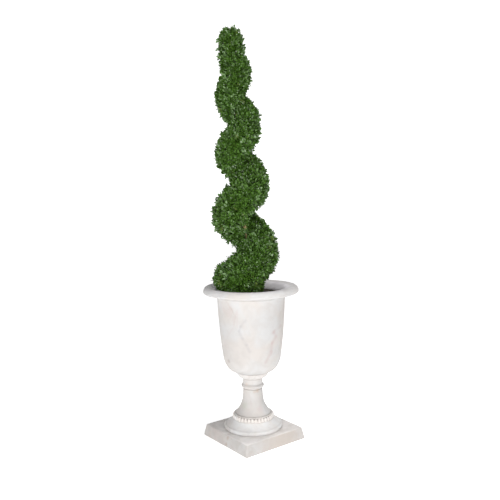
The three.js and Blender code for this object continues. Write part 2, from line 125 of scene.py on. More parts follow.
bpy.ops.object.select_all(action="DESELECT")
behind = round_the_piece(180, BACKDROP_DISTANCE, 0)
upright = (math.pi / 2, 0, FRONT_AZIMUTH)
bpy.ops.mesh.primitive_plane_add(size=BACKDROP_SIZE, location=behind, rotation=upright)
backdrop = bpy.context.active_object
backdrop.name = "backdrop"
backdrop.data.materials.append(paint_plain("pale_backdrop", STAGE_WHITE, BACKDROP_GLOW))
print("floor", tuple(floor.dimensions), "backdrop at", [round(value, 2) for value in behind])

# %% [markdown]
# ## Light
#
# A large soft lamp stands low at the left of the camera and a weaker, warmer one at its right,
# which rounds the urn. A third, wide lamp hangs high above and brings out the mouldings and
# the tops of the leaves. All are area lights, whose size softens the shadows. The room itself
# gives a weak, even light.

# %% Hang the lamps
ROOM_LIGHT = 0.30
LAMP_AIM = Vector((0, 0, 0.6))


def hang_lamp(name, azimuth, distance, height, size, power, colour=(1, 1, 1)):
    data = bpy.data.lights.new(name, "AREA")
    data.shape = "DISK"
    data.size = size
    data.energy = power
    data.color = colour
    lamp = bpy.data.objects.new(name, data)
    bpy.context.scene.collection.objects.link(lamp)
    place = round_the_piece(azimuth, distance, height)
    facing = (LAMP_AIM - place).to_track_quat("-Z", "Y").to_matrix().to_4x4()
    lamp.matrix_world = Matrix.Translation(place) @ facing
    return lamp


WARM_LIGHT = (1.0, 0.97, 0.945)
hang_lamp("key_lamp", azimuth=-16, distance=3.0, height=0.9, size=1.1, power=42)
hang_lamp("fill_lamp", azimuth=42, distance=3.2, height=1.5, size=1.3, power=12, colour=WARM_LIGHT)
hang_lamp("top_lamp", azimuth=60, distance=1.8, height=6.0, size=2.4, power=180)

world = bpy.data.worlds.new("studio")
bpy.context.scene.world = world
world.use_nodes = True
surround = world.node_tree.nodes["Background"]
surround.inputs["Color"].default_value = (1, 1, 1, 1)
surround.inputs["Strength"].default_value = ROOM_LIGHT
print(len(bpy.data.lights), "lamps and the room's own light")

# %% [markdown]
# ## A shorthand for materials
#
# A material is a tree of nodes. Written out in full, each node takes several lines, so a small
# class adds a node, sets or links its inputs and hands back its output. A finish then reads as
# a list of steps.

# %% Add nodes and join them up
class Nodes:
    """A new material whose nodes are added and joined by short calls."""

    def __init__(self, name):
        self.material = bpy.data.materials.new(name)
        self.material.use_nodes = True
        self.tree = self.material.node_tree
        self.shader = self.tree.nodes["Principled BSDF"]
        self.place = self.add("ShaderNodeTexCoord").outputs["Object"]

    def add(self, kind, **settings):
        node = self.tree.nodes.new(kind)
        for key, value in settings.items():
            setattr(node, key, value)
        return node

    def put(self, socket, value):
        """Links an output to a socket, or sets the socket to a number, colour or vector."""
        if isinstance(value, bpy.types.NodeSocket):
            self.tree.links.new(value, socket)
            return
        is_triple = isinstance(value, (tuple, list)) and len(value) == 3
        if is_triple and len(socket.default_value) == 4:
            value = (*value, 1)
        socket.default_value = value

    def noise(self, scale, detail=4.0, distortion=0.0, shift=(0, 0, 0), stretch=(1, 1, 1)):
        mapping = self.add("ShaderNodeMapping")
        self.put(mapping.inputs["Vector"], self.place)
        mapping.inputs["Location"].default_value = shift
        mapping.inputs["Scale"].default_value = stretch
        node = self.add("ShaderNodeTexNoise")
        self.put(node.inputs["Vector"], mapping.outputs["Vector"])
        node.inputs["Scale"].default_value = scale
        node.inputs["Detail"].default_value = detail
        node.inputs["Distortion"].default_value = distortion
        return node.outputs["Fac"]

    def math(self, operation, a, b=0.0, c=0.0):
        node = self.add("ShaderNodeMath", operation=operation)
        for socket, value in zip(node.inputs, (a, b, c)):
            self.put(socket, value)
        return node.outputs[0]

    def ramp(self, value, low, high, out_low=0.0, out_high=1.0):
        """A smooth step from one output to the other as the value goes from low to high."""
        node = self.add("ShaderNodeMapRange", interpolation_type="SMOOTHSTEP")
        names = ("Value", "From Min", "From Max", "To Min", "To Max")
        for name, given in zip(names, (value, low, high, out_low, out_high)):
            self.put(node.inputs[name], given)
        return node.outputs["Result"]

    def mix(self, factor, a, b):
        node = self.add("ShaderNodeMix", data_type="RGBA")
        self.put(node.inputs[0], factor)
        self.put(node.inputs[6], a)
        self.put(node.inputs[7], b)
        return node.outputs[2]

    def vector(self, operation, a, b=None, scale=None):
        node = self.add("ShaderNodeVectorMath", operation=operation)
        self.put(node.inputs[0], a)
        if b is not None:
            self.put(node.inputs[1], b)
        if scale is not None:
            self.put(node.inputs["Scale"], scale)
        single = operation in ("LENGTH", "DISTANCE", "DOT_PRODUCT")
        return node.outputs["Value" if single else "Vector"]


print("node helpers ready: add, put, noise, math, ramp, mix, vector")

# %% [markdown]
# Stains, veins, dirt and painted shade sit at known places. So a finish also measures: how far a
# point of the skin is from a line or from the urn's axis, how high it lies, and how far it looks
# up. Where a drawn edge would be too clean, the place is first shaken by a noise.

# %% Measure places on the skin
class Finish(Nodes):
    """A material that knows where on the piece it is, and how rough and uneven it is."""

    def shaken(self, scale, reach):
        """The place moved about by a noise, which frays whatever is drawn with it."""
        node = self.add("ShaderNodeTexNoise")
        self.put(node.inputs["Vector"], self.place)
        node.inputs["Scale"].default_value = scale
        shake = self.vector("SUBTRACT", node.outputs["Color"], (0.5, 0.5, 0.5))
        return self.vector("ADD", self.place, self.vector("SCALE", shake, scale=2 * reach))

    def from_line(self, place, start, end):
        """Distance of a place from the straight line between two points."""
        run = Vector(end) - Vector(start)
        offset = self.vector("SUBTRACT", place, tuple(start))
        along = self.vector("DOT_PRODUCT", offset, tuple(run))
        share = self.math("MULTIPLY", along, 1 / run.length_squared)
        share.node.use_clamp = True
        return self.vector("DISTANCE", offset, self.vector("SCALE", tuple(run), scale=share))

    def from_axis(self):
        return self.vector("LENGTH", self.vector("MULTIPLY", self.place, (1, 1, 0)))

    def height(self):
        split = self.add("ShaderNodeSeparateXYZ")
        self.put(split.inputs[0], self.place)
        return split.outputs["Z"]

    def upward(self):
        split = self.add("ShaderNodeSeparateXYZ")
        self.put(split.inputs[0], self.add("ShaderNodeNewGeometry").outputs["Normal"])
        return split.outputs["Z"]

    def bump(self, value, strength, distance):
        node = self.add("ShaderNodeBump")
        self.put(node.inputs["Height"], value)
        node.inputs["Strength"].default_value = strength
        node.inputs["Distance"].default_value = distance
        self.put(self.shader.inputs["Normal"], node.outputs["Normal"])

    def close(self, colour, roughness):
        """Puts the colour and the roughness into the shader and hands over the material."""
        self.put(self.shader.inputs["Base Color"], colour)
        self.put(self.shader.inputs["Roughness"], roughness)
        return self.material


print("finish helpers ready: shaken, from_line, from_axis, height, upward, bump, close")

# %% [markdown]
# ## Marble
#
# The urn is an off-white marble: broad clouds of warmer and cooler white, faint broken veins in
# grey and dusty pink, and a satin surface. A picture of marble wrapped round it would show
# seams, so the stone is made of noise in space, as if each piece were cut from a block. The
# clouds are a low noise, and a finer one mottles them where the stone is worn.

# %% Clouds of the marble
WARM_WHITE = (0.70, 0.662, 0.632)
COOL_WHITE = (0.700, 0.696, 0.694)
MOTTLE_SHADE = 0.88


def clouded(n, tone, shift, wear):
    """The ground colour: tone lightens or darkens it, and wear is how much it is mottled."""
    warm = tuple(tone * part for part in WARM_WHITE)
    cool = tuple(tone * part for part in COOL_WHITE)
    clouds = n.noise(6.5, 5, 0.6, shift=shift)
    colour = n.mix(n.ramp(clouds, 0.40, 0.60), warm, cool)
    mottle = n.ramp(n.noise(30, 5, 0.5, shift=shift), 0.35, 0.70, 0.0, wear)
    return n.mix(mottle, colour, tuple(MOTTLE_SHADE * part for part in warm))


print("warm white", WARM_WHITE, "cool white", COOL_WHITE)

# %% [markdown]
# Veins come in two kinds. A small one is where a twisted noise passes its middle value, so the
# distance from that value, put through a narrow ramp, draws a line. The few long ones are
# broken lines with known corners: the distance from the line is frayed by a noise.

# %% Veins of the marble
GREY_VEIN = (0.36, 0.345, 0.36)
PINK_VEIN = (0.50, 0.37, 0.36)
FINE_VEINS = ((0.0, GREY_VEIN, 0.20), (5.3, PINK_VEIN, 0.18))


def veined(n, colour, shift, veins):
    """Fine veins all over, and long ones given as (points, width, strength, tint)."""
    for seed, tint, strength in FINE_VEINS:
        start = (seed + shift[0], shift[1], shift[2])
        wander = n.noise(4.2, 6, 1.6, shift=start, stretch=(1, 1, 0.55))
        line = n.math("ABSOLUTE", n.math("SUBTRACT", wander, 0.5))
        broken = n.ramp(n.noise(9, 3, 0, shift=(3.1 + seed, 0.4, 1.7)), 0.48, 0.66)
        faint = n.math("MULTIPLY", n.ramp(line, 0.0, 0.020, strength, 0.0), broken)
        colour = n.mix(faint, colour, tint)

    frayed = n.shaken(28, 0.006)
    for points, width, strength, tint in veins:
        for start, end in zip(points, points[1:]):
            vein = n.ramp(n.from_line(frayed, start, end), 0.0, width, strength, 0.0)
            colour = n.mix(vein, colour, tint)
    return colour


print(len(FINE_VEINS), "kinds of fine vein")

# %% [markdown]
# Weather leaves its marks: rusty patches and stains round known places. Whatever looks up takes
# dust mixed with painted shade, and the plinth's top takes pale dust mixed with painted light. The
# turned grooves take dirt and painted shade, drawn as bands at the grooves' heights. Inside the lip
# the stone is painted a paler lilac, a painted light that lifts the shade of the hollow.

# %% Stains, dust, dirt and painted light and shade
RUST = (0.56, 0.36, 0.22)
FAINT_RUST = (0.58, 0.45, 0.36)
GROOVE_DIRT_AND_SHADE = (0.20, 0.17, 0.15)
GREY_DUST_AND_TOP_SHADE = (0.42, 0.395, 0.41)
LILAC_PAINTED_LIGHT = (0.80, 0.765, 0.80)


def stained(n, colour, rust, stains):
    """Rusty patches by chance, and stains given as (place, size, strength, tint)."""
    patches = n.ramp(n.noise(15, 5, 0.8, shift=(1.9, 7.7, 4.1)), 0.60, 0.80, 0.0, rust)
    colour = n.mix(patches, colour, FAINT_RUST)
    for place, size, strength, tint in stains:
        away = n.vector("DISTANCE", n.shaken(55, 0.007), tuple(place))
        colour = n.mix(n.ramp(away, 0.0, size, strength, 0.0), colour, tint)
    return colour


def lilac_painted_light_inside(n, colour, radius, level):
    """A paler lilac painted inside a hollow within a radius of the urn's axis and above a level:
    painted light that lifts the hollow's shade.
    """
    inside = n.ramp(n.from_axis(), radius - 0.016, radius, 0.9, 0.0)
    inside = n.math("MULTIPLY", inside, n.ramp(n.height(), level - 0.004, level))
    return n.mix(inside, colour, LILAC_PAINTED_LIGHT)


# Faces that look up take dust mixed with a painted top tone: the grey tint is painted shade, and
# the plinth's pale tint is painted light on its top.
def dust_and_painted_top_tone(n, colour, top_dust_and_tone, tint):
    up = n.ramp(n.upward(), 0.30, 0.90)
    settled = n.math("MULTIPLY", up, n.ramp(n.noise(26, 5), 0.25, 0.70, 0.4 * top_dust_and_tone, top_dust_and_tone))
    return n.mix(settled, colour, tint)


def dirt_and_shade_in_grooves(n, colour, grooves):
    """Patchy dirt and painted shade in the grooves, given as (height, reach, strength)."""
    for level, reach, strength in grooves:
        away = n.math("ABSOLUTE", n.math("SUBTRACT", n.height(), level))
        patchy = n.ramp(n.noise(34, 4, shift=(level, 0, 0)), 0.25, 0.75, 0.4 * strength, strength)
        dirt = n.math("MULTIPLY", n.ramp(away, 0.0, reach, 1.0, 0.0), patchy)
        colour = n.mix(dirt, colour, GROOVE_DIRT_AND_SHADE)
    return colour


# Shows the tint of dust and painted top shade, and the colour of groove dirt and painted shade.
print("top_dust_and_tone", GREY_DUST_AND_TOP_SHADE, "groove dirt", GROOVE_DIRT_AND_SHADE)

# %% [markdown]
# Every piece of the urn gets the same marble, with its own tone, its own grooves and its own
# amount of wear. Gloss varies a little over the skin, and a low relief keeps the light from
# lying on it too evenly.

# %% Mix the marble
def marble(
    name,
    grooves=(),
    veins=(),
    stains=(),
    shift=(0, 0, 0),
    tone=1.0,
    top_dust_and_tone=0.2,
    top_dust_and_tone_tint=GREY_DUST_AND_TOP_SHADE,
    rust=0.1,
    wear=0.45,
    hollow=None,
):
    n = Finish(name)
    colour = clouded(n, tone, shift, wear)
    colour = veined(n, colour, shift, veins)
    colour = stained(n, colour, rust, stains)
    if hollow:
        colour = lilac_painted_light_inside(n, colour, *hollow)
    colour = dust_and_painted_top_tone(n, colour, top_dust_and_tone, top_dust_and_tone_tint)
    colour = dirt_and_shade_in_grooves(n, colour, grooves)
    roughness = n.ramp(n.noise(18, 4, shift=(9, 2, 5)), 0.3, 0.7, 0.42, 0.60)
    relief = n.math("MULTIPLY_ADD", n.noise(11, 3, shift=(4, 4, 1)), 1.6, n.noise(120, 5))
    n.bump(relief, 0.16, 0.0012)
    n.shader.inputs["Specular IOR Level"].default_value = 0.22
    return n.close(colour, roughness)


print("marble ready to dress the urn")

# %% [markdown]
# Veins and stains are placed one by one on the front of the round pieces. A place is given by how
# far it lies to the right of the middle, the radius of the skin there, and its height.

# %% Find a place on the front
TO_THE_RIGHT = Vector((math.cos(FRONT_AZIMUTH), math.sin(FRONT_AZIMUTH), 0))
TO_THE_FRONT = Vector((math.sin(FRONT_AZIMUTH), -math.cos(FRONT_AZIMUTH), 0))


def in_front(across, radius, height):
    """A point on a round skin, so far to the right of the middle of its front."""
    toward = math.sqrt(radius**2 - across**2)
    return TO_THE_RIGHT * across + TO_THE_FRONT * toward + Vector((0, 0, height))


print("front of the bowl", [round(value, 3) for value in in_front(0, 0.143, 0.6)])

# %% [markdown]
# ## Turned pieces
#
# Foot, stem, collar and bowl are round, so each is made as on a lathe, from half of its
# section. A section is a list of (radius, height) points. Straight parts need only their
# corners, and bends are filled in between a start and an end by one or two control points.

# %% Bends of a section
def curve(start, control, end, steps):
    """Points after the start on a bend that leaves and arrives along its control point."""
    points = []
    for i in range(1, steps + 1):
        t = i / steps
        a, b, c = (1 - t) ** 2, 2 * t * (1 - t), t * t
        points.append(tuple(a * p + b * q + c * r for p, q, r in zip(start, control, end)))
    return points


def double_curve(start, control_a, control_b, end, steps):
    """The same with two control points, for a long S or a trumpet."""
    points = []
    corners = (start, control_a, control_b, end)
    for i in range(1, steps + 1):
        t = i / steps
        weights = ((1 - t) ** 3, 3 * t * (1 - t) ** 2, 3 * t * t * (1 - t), t**3)
        points.append(tuple(sum(w * p[k] for w, p in zip(weights, corners)) for k in (0, 1)))
    return points


print("a quarter bend in two steps:", curve((0, 0), (1, 0), (1, 1), 2))

# %% [markdown]
# Edit mode works on the active object, and a modifier is applied to it too, so three short
# helpers see to that.

# %% Change modes and apply modifiers
def edit_mode(piece):
    bpy.context.view_layer.objects.active = piece
    bpy.ops.object.mode_set(mode="EDIT")


def object_mode():
    bpy.ops.object.mode_set(mode="OBJECT")


def apply_modifiers(piece):
    bpy.ops.object.select_all(action="DESELECT")
    piece.select_set(True)
    bpy.context.view_layer.objects.active = piece
    for modifier in list(piece.modifiers):
        bpy.ops.object.modifier_apply(modifier=modifier.name)


print("now in", bpy.context.mode)

# %% [markdown]
# On the lathe a small plane is merged to one first point, the point is extruded along the
# section, and the section is spun once round the Z axis. The two ends lie on the axis, so
# merging doubles closes the poles and the seam. A narrow bevel then rounds every sharp turned
# edge. A Screw modifier would also do, but spin leaves a plain mesh at once.

# %% The lathe
def turn_on_lathe(name, section, steps=144, bevel=0.0007):
    bpy.ops.object.select_all(action="DESELECT")
    first_radius, first_height = section[0]
    bpy.ops.mesh.primitive_plane_add(size=0.001, location=(first_radius, 0, first_height))
    piece = bpy.context.active_object
    piece.name = name
    edit_mode(piece)
    bpy.ops.mesh.select_mode(type="VERT")
    bpy.ops.mesh.select_all(action="SELECT")
    bpy.ops.mesh.merge(type="CENTER")
    for (radius, height), (next_radius, next_height) in zip(section, section[1:]):
        step = (next_radius - radius, 0, next_height - height)
        bpy.ops.mesh.extrude_vertices_move(TRANSFORM_OT_translate={"value": step})
    bpy.ops.mesh.select_all(action="SELECT")
    bpy.ops.mesh.spin(steps=steps, angle=2 * math.pi, center=(0, 0, 0), axis=(0, 0, 1))
    bpy.ops.mesh.select_all(action="SELECT")
    bpy.ops.mesh.remove_doubles(threshold=0.00002)
    bpy.ops.mesh.normals_make_consistent(inside=False)
    object_mode()
    bpy.ops.object.transform_apply(location=True, rotation=True, scale=True)
    if bevel:
        rounding = piece.modifiers.new("rounding", "BEVEL")
        rounding.width = bevel
        rounding.segments = 2
        rounding.limit_method = "ANGLE"
        rounding.angle_limit = math.radians(28)
        apply_modifiers(piece)
    bpy.ops.object.shade_smooth_by_angle(angle=math.radians(45))
    print(name, len(piece.data.polygons), "faces")
    return piece


def stacked(section, node):
    """A section whose heights count from the underside of a node of the solid model."""
    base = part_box(node)[0].z
    return [(radius, base + height) for radius, height in section]


# %% Dress a piece
def dress(piece, material, slot, *nodes):
    """Gives a finished piece its material and says what it rides on and stands for."""
    piece.data.materials.clear()
    piece.data.materials.append(material)
    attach(piece, "root")
    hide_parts(*nodes)
    print(piece.name, "stands for", *nodes)


# %% [markdown]
# ### Foot
#
# The foot is a fat half-round moulding, a narrow groove, and a soft hollow slope that climbs
# to the bead band.

# %% Turn the foot
foot_low, foot_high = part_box("foot")
FOOT = foot_high.x
foot_height = foot_high.z - foot_low.z
BAND = 0.089

section = [(0, 0), (FOOT - 0.0025, 0)]
section += curve(section[-1], (FOOT + 0.0005, 0.002), (FOOT, 0.007), 6)
section += curve(section[-1], (FOOT - 0.0005, 0.0150), (FOOT - 0.0075, 0.0165), 8)
section += [(FOOT - 0.0087, 0.0158), (FOOT - 0.0097, 0.0173)]
section += curve(section[-1], (BAND + 0.009, 0.0235), (BAND - 0.0015, foot_height), 18)
section += [(0, foot_height)]
foot = turn_on_lathe("foot_moulding", stacked(section, "foot"))
foot_grooves = [(foot_low.z + 0.0165, 0.0025, 0.16), (foot_low.z, 0.002, 0.6)]
# The foot is painted paler than the bowl and left without dust: painted light that lifts its shade
# under the bowl.
foot_marble_painted_light = marble("foot_marble_painted_light", foot_grooves, shift=(0.3, 0, 0), tone=1.04, top_dust_and_tone=0.0, rust=0.15)
dress(foot, foot_marble_painted_light, "cast_stone", "foot")

# %% [markdown]
# ### Bead band
#
# Above the foot a band slants inwards and carries a ring of upright oval beads. The band is
# turned with a hollow behind the beads.

# %% Turn the band
band_low, band_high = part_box("bead_band")
band_height = band_high.z - band_low.z
section = [
    (0, 0),
    (BAND - 0.0020, 0),
    (BAND - 0.0040, 0.0030),
    (BAND - 0.0072, 0.0090),
    (BAND - 0.0098, 0.0170),
    (BAND - 0.0088, 0.0185),
    (BAND - 0.0094, 0.0208),
    (BAND - 0.0110, band_height),
    (0, band_height),
]
band = turn_on_lathe("bead_band_ring", stacked(section, "bead_band"), bevel=0.0005)
band_grooves = [(band_low.z + 0.0145, 0.0055, 0.8), (band_high.z, 0.002, 0.6)]
band_marble = marble("band_marble", band_grooves, tone=1.0, top_dust_and_tone=0.0, rust=0.0)
dress(band, band_marble, "cast_stone", "bead_band")

# %% [markdown]
# One bead is a sphere pulled tall and tipped back with the band. The beads could be cut into
# the band's own skin, but single ones keep a clean crease between them. The copies are set
# round the band with their own meshes, then joined to one string. Each is turned inside its
# mesh, so every object stays at the origin.

# %% Shape the first bead
BEADS = 36
BEAD_HEIGHT = 0.0168
BEAD_WIDTH = 0.0122
BEAD_DEPTH = 0.0110
BAND_NARROWING = 0.0065
BAND_SLANT = math.atan2(BAND_NARROWING, 0.0222)

bpy.ops.object.select_all(action="DESELECT")
bead_place = (BAND - 0.0056, 0, band_low.z + 0.0098)
bpy.ops.mesh.primitive_uv_sphere_add(segments=14, ring_count=10, radius=0.5, location=bead_place)
first_bead = bpy.context.active_object
edit_mode(first_bead)
bpy.ops.mesh.select_all(action="SELECT")
bpy.ops.transform.resize(value=(BEAD_DEPTH, BEAD_WIDTH, BEAD_HEIGHT), center_override=bead_place)
object_mode()
first_bead.data.transform(Matrix.Rotation(-BAND_SLANT, 4, "Y"))
bpy.ops.object.transform_apply(location=True)
bpy.ops.object.shade_smooth()
print("one bead has", len(first_bead.data.polygons), "faces")

# %% String the beads
beads = [first_bead]
for index in range(1, BEADS):
    bead = first_bead.copy()
    bead.data = first_bead.data.copy()
    bpy.context.scene.collection.objects.link(bead)
    bead.data.transform(Matrix.Rotation(2 * math.pi * index / BEADS, 4, "Z"))
    beads.append(bead)
bpy.ops.object.select_all(action="DESELECT")
for bead in beads:
    bead.select_set(True)
bpy.context.view_layer.objects.active = first_bead
bpy.ops.object.join()
first_bead.name = "bead_string"
bead_marble = marble("bead_marble", tone=1.18, top_dust_and_tone=0.0, rust=0.0)
dress(first_bead, bead_marble, "cast_stone", "bead_band")
print(BEADS, "beads,", len(first_bead.data.polygons), "faces")

# %% [markdown]
# ### Stem
#
# The stem is a trumpet that narrows upwards to a waist, then a ring and a short neck. It has a
# few stains at the ring and at its foot.

# %% Turn the stem
stem_low, stem_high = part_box("stem")
WAIST = 0.0408
STEM_FOOT = stem_high.x
stem_height = stem_high.z - stem_low.z

section = [(0, 0), (STEM_FOOT, 0)]
flare = (STEM_FOOT - 0.012, 0.0105)
narrow = (WAIST + 0.0037, 0.036)
section += double_curve(section[-1], flare, narrow, (WAIST + 0.0014, 0.078), 26)
section += [(WAIST, 0.1026), (WAIST - 0.0012, 0.1042)]
section += [(WAIST - 0.0012, 0.1056), (WAIST + 0.0007, 0.1073)]
section += curve(section[-1], (WAIST + 0.0137, 0.1161), (WAIST + 0.0015, 0.1255), 12)
section += curve(section[-1], (WAIST + 0.0008, 0.1263), (WAIST + 0.0010, 0.1283), 4)
section += [(WAIST + 0.0010, 0.1463), (WAIST + 0.0015, stem_height), (0, stem_height)]
stem = turn_on_lathe("stem_turning", stacked(section, "stem"))

# %% Stain the stem
stem_grooves = [
    (stem_low.z, 0.004, 0.55),
    (stem_low.z + 0.105, 0.0035, 0.8),
    (stem_low.z + 0.1275, 0.003, 0.12),
    (stem_high.z, 0.004, 0.6),
]
PALE_RUST = (0.66, 0.48, 0.36)
MOSS_TINT = (0.50, 0.55, 0.42)
ROSE_TINT = (0.60, 0.46, 0.45)
stem_stains = [
    (in_front(0.020, WAIST + 0.001, stem_low.z + 0.1005), 0.014, 0.42, RUST),
    (in_front(0.006, WAIST + 0.001, stem_low.z + 0.0985), 0.011, 0.25, RUST),
    (in_front(-0.028, WAIST + 0.005, stem_low.z + 0.130), 0.012, 0.40, PALE_RUST),
    (in_front(-0.036, 0.050, stem_low.z + 0.038), 0.024, 0.30, MOSS_TINT),
    (in_front(0.027, 0.052, stem_low.z + 0.024), 0.022, 0.30, ROSE_TINT),
]
stem_marble = marble(
    "stem_marble", stem_grooves, stains=stem_stains, shift=(0.9, 0.2, 0), tone=0.92, top_dust_and_tone=0.1
)
dress(stem, stem_marble, "cast_stone", "stem")

# %% [markdown]
# ### Collar
#
# The collar above the stem opens in a quarter round to carry the bowl.

# %% Turn the collar
collar_low, collar_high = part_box("collar")
COLLAR = collar_high.x
collar_height = collar_high.z - collar_low.z
section = [(0, 0), (WAIST + 0.0012, 0)]
section += curve(section[-1], (COLLAR - 0.014, 0.0035), (COLLAR - 0.0065, 0.018), 14)
section += curve(section[-1], (COLLAR - 0.0055, 0.0225), (COLLAR - 0.0025, 0.0235), 5)
section += curve(section[-1], (COLLAR + 0.0002, 0.0250), (COLLAR, collar_height), 5)
section += [(0, collar_height)]
collar = turn_on_lathe("collar_turning", stacked(section, "collar"))
collar_grooves = [(collar_low.z, 0.003, 0.6), (collar_high.z, 0.0035, 0.9)]
collar_marble = marble("collar_marble", collar_grooves, shift=(0.4, 0.9, 0), tone=0.98)
dress(collar, collar_marble, "cast_stone", "collar")

# %% [markdown]
# ### Bowl
#
# The bowl is one wall with an outside and an inside. A Solidify modifier could thicken a
# single skin, but this wall isn't evenly thick. So its section runs up the outside, over the
# rolled lip, and down the inside to the middle of the floor. Behind the lip's ridge the top
# dips gently to a shoulder, then turns down into the mouth.

# %% Turn the bowl
bowl_low, bowl_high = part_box("bowl")
RIM = bowl_high.x
bowl_height = bowl_high.z - bowl_low.z
BODY = 0.143
RIDGE = 0.190
SHOULDER = 0.155
SHOULDER_DROP = 0.005
MOUTH = 0.131
LIP_FALL = 0.029
EARTH_LEVEL = 0.333
BOWL_FLOOR = 0.020

section = [(0, 0), (COLLAR + 0.0005, 0)]
section += curve(section[-1], (0.1095, 0.008), (0.1215, 0.061), 22)
section += curve(section[-1], (0.1365, 0.165), (BODY, 0.309), 22)
section += [(BODY, 0.319)]
section += curve(section[-1], (BODY + 0.0005, 0.3215), (0.149, 0.3235), 4)
section += [(0.160, 0.3275), (0.178, 0.3315)]
section += curve(section[-1], (RIM - 0.0025, 0.3325), (RIM, 0.341), 12)
section += curve(section[-1], (RIM + 0.001, bowl_height - 0.007), (RIDGE, bowl_height), 14)
shoulder = (SHOULDER, bowl_height - SHOULDER_DROP)
section += curve(section[-1], (0.180, bowl_height + 0.0005), shoulder, 8)
mouth = (MOUTH, bowl_height - LIP_FALL)
section += curve(section[-1], (SHOULDER - 0.015, bowl_height - 0.007), mouth, 16)
section += [(MOUTH - 0.001, EARTH_LEVEL - 0.03)]
section += curve(section[-1], (MOUTH - 0.008, 0.160), (MOUTH - 0.024, 0.064), 8)
section += curve(section[-1], (MOUTH - 0.032, 0.024), (0.044, BOWL_FLOOR), 8)
section += [(0, BOWL_FLOOR)]
bowl = turn_on_lathe("bowl_turning", stacked(section, "bowl"), steps=180)

# %% [markdown]
# Three long veins cross the front of the bowl, brown at the left, grey in the middle and pink
# at the right. The body is nearly a cone there, so its radius follows from the height.

# %% Vein and stain the bowl
def body_points(places):
    """Points on the bowl's front, each given by how far right and how high it lies."""
    return [in_front(across, 0.121 + 0.08 * (height - 0.352), height) for across, height in places]


brown_vein = body_points([(-0.098, 0.604), (-0.078, 0.579), (-0.060, 0.540)])
grey_vein = body_points([(-0.023, 0.533), (-0.044, 0.508), (-0.048, 0.492), (-0.037, 0.460)])
grey_vein += body_points([(-0.022, 0.433), (-0.010, 0.405)])
pink_vein = body_points([(0.117, 0.498), (0.088, 0.478), (0.096, 0.456), (0.082, 0.435)])
pink_vein += body_points([(0.076, 0.396), (0.054, 0.355)])
bowl_veins = [
    (brown_vein, 0.0085, 0.26, (0.45, 0.37, 0.33)),
    (grey_vein, 0.0110, 0.29, GREY_VEIN),
    (pink_vein, 0.0120, 0.31, PINK_VEIN),
]
pink_patch, low_patch, soil_patch = body_points([(0.088, 0.476), (0.080, 0.432), (-0.096, 0.354)])
bowl_stains = [
    (pink_patch, 0.016, 0.40, PINK_VEIN),
    (low_patch, 0.012, 0.30, PINK_VEIN),
    (soil_patch, 0.012, 0.45, (0.30, 0.24, 0.20)),
]
print(len(bowl_veins), "long veins,", len(bowl_stains), "stains")

# %% Dress the bowl
# The broad band at the bowl's underside is painted shade, darker towards the bottom, and the band
# under the lip is a painted shadow line.
bowl_grooves_dirt_and_shade = [
    (bowl_low.z, 0.004, 0.8),
    (bowl_low.z, 0.034, 0.12),
    (bowl_low.z + 0.3215, 0.004, 0.42),
]
bowl_marble = marble(
    "bowl_marble",
    bowl_grooves_dirt_and_shade,
    bowl_veins,
    bowl_stains,
    shift=(1.7, 0.6, 0.3),
    tone=0.855,
    # The grey tint on the lip's top and in the hollow is dust and painted shade.
    top_dust_and_tone=0.6,
    rust=0.04,
    # Inside the lip the stone is painted a paler lilac: painted light that lifts the hollow's
    # shade.
    hollow=(0.172, bowl_high.z - LIP_FALL - 0.004),
)
dress(bowl, bowl_marble, "cast_stone", "bowl")

# %% [markdown]
# ### Plinth
#
# The plinth is a square block whose sides lean in a little. It is a cube whose top face is
# scaled, with its edges worn round by a bevel. Real edges aren't dead straight, so the block
# is subdivided and its skin is moved by a fraction of a millimetre. A Displace modifier would
# move the underside too, which has to stay flat on the floor, so the points are moved in code.

# %% Shape the plinth
plinth_low, plinth_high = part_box("plinth")
PLINTH_TAPER = 0.2927 / 0.312

bpy.ops.object.select_all(action="DESELECT")
plinth_middle = (plinth_low + plinth_high) / 2
bpy.ops.mesh.primitive_cube_add(size=1, location=plinth_middle, scale=plinth_high - plinth_low)
plinth = bpy.context.active_object
plinth.name = "plinth_block"
bpy.ops.object.transform_apply(location=True, rotation=True, scale=True)
edit_mode(plinth)
bpy.ops.mesh.select_all(action="DESELECT")
object_mode()
for face in plinth.data.polygons:
    face.select = face.normal.z > 0.5
edit_mode(plinth)
bpy.ops.mesh.select_mode(type="FACE")
top_middle = (0, 0, plinth_high.z)
bpy.ops.transform.resize(value=(PLINTH_TAPER, PLINTH_TAPER, 1), center_override=top_middle)
bpy.ops.mesh.select_all(action="SELECT")
bpy.ops.mesh.bevel(offset=0.005, segments=3, affect="EDGES")
object_mode()
print("plinth block", [round(value, 4) for value in plinth.dimensions])

# %% Wear the plinth
WEAR = 0.0005
FINE_WEAR = 0.00022

fine = plinth.modifiers.new("fine", "SUBSURF")
fine.subdivision_type = "SIMPLE"
fine.levels = 4
fine.render_levels = 4
apply_modifiers(plinth)
for vertex in plinth.data.vertices:
    if vertex.co.z > plinth_low.z + 0.0005:
        shake = noise.noise_vector(vertex.co * 22) * WEAR
        shake += noise.noise_vector(vertex.co * 70) * FINE_WEAR
        vertex.co += shake
    else:
        vertex.co.z = plinth_low.z
bpy.ops.object.shade_smooth_by_angle(angle=math.radians(40))
print("plinth", len(plinth.data.polygons), "faces")

# %% [markdown]
# The plinth takes the most weather: brown runs on its left side and a broad brownish wash over its
# right side. Its top takes pale dust mixed with painted light, which lightens it.

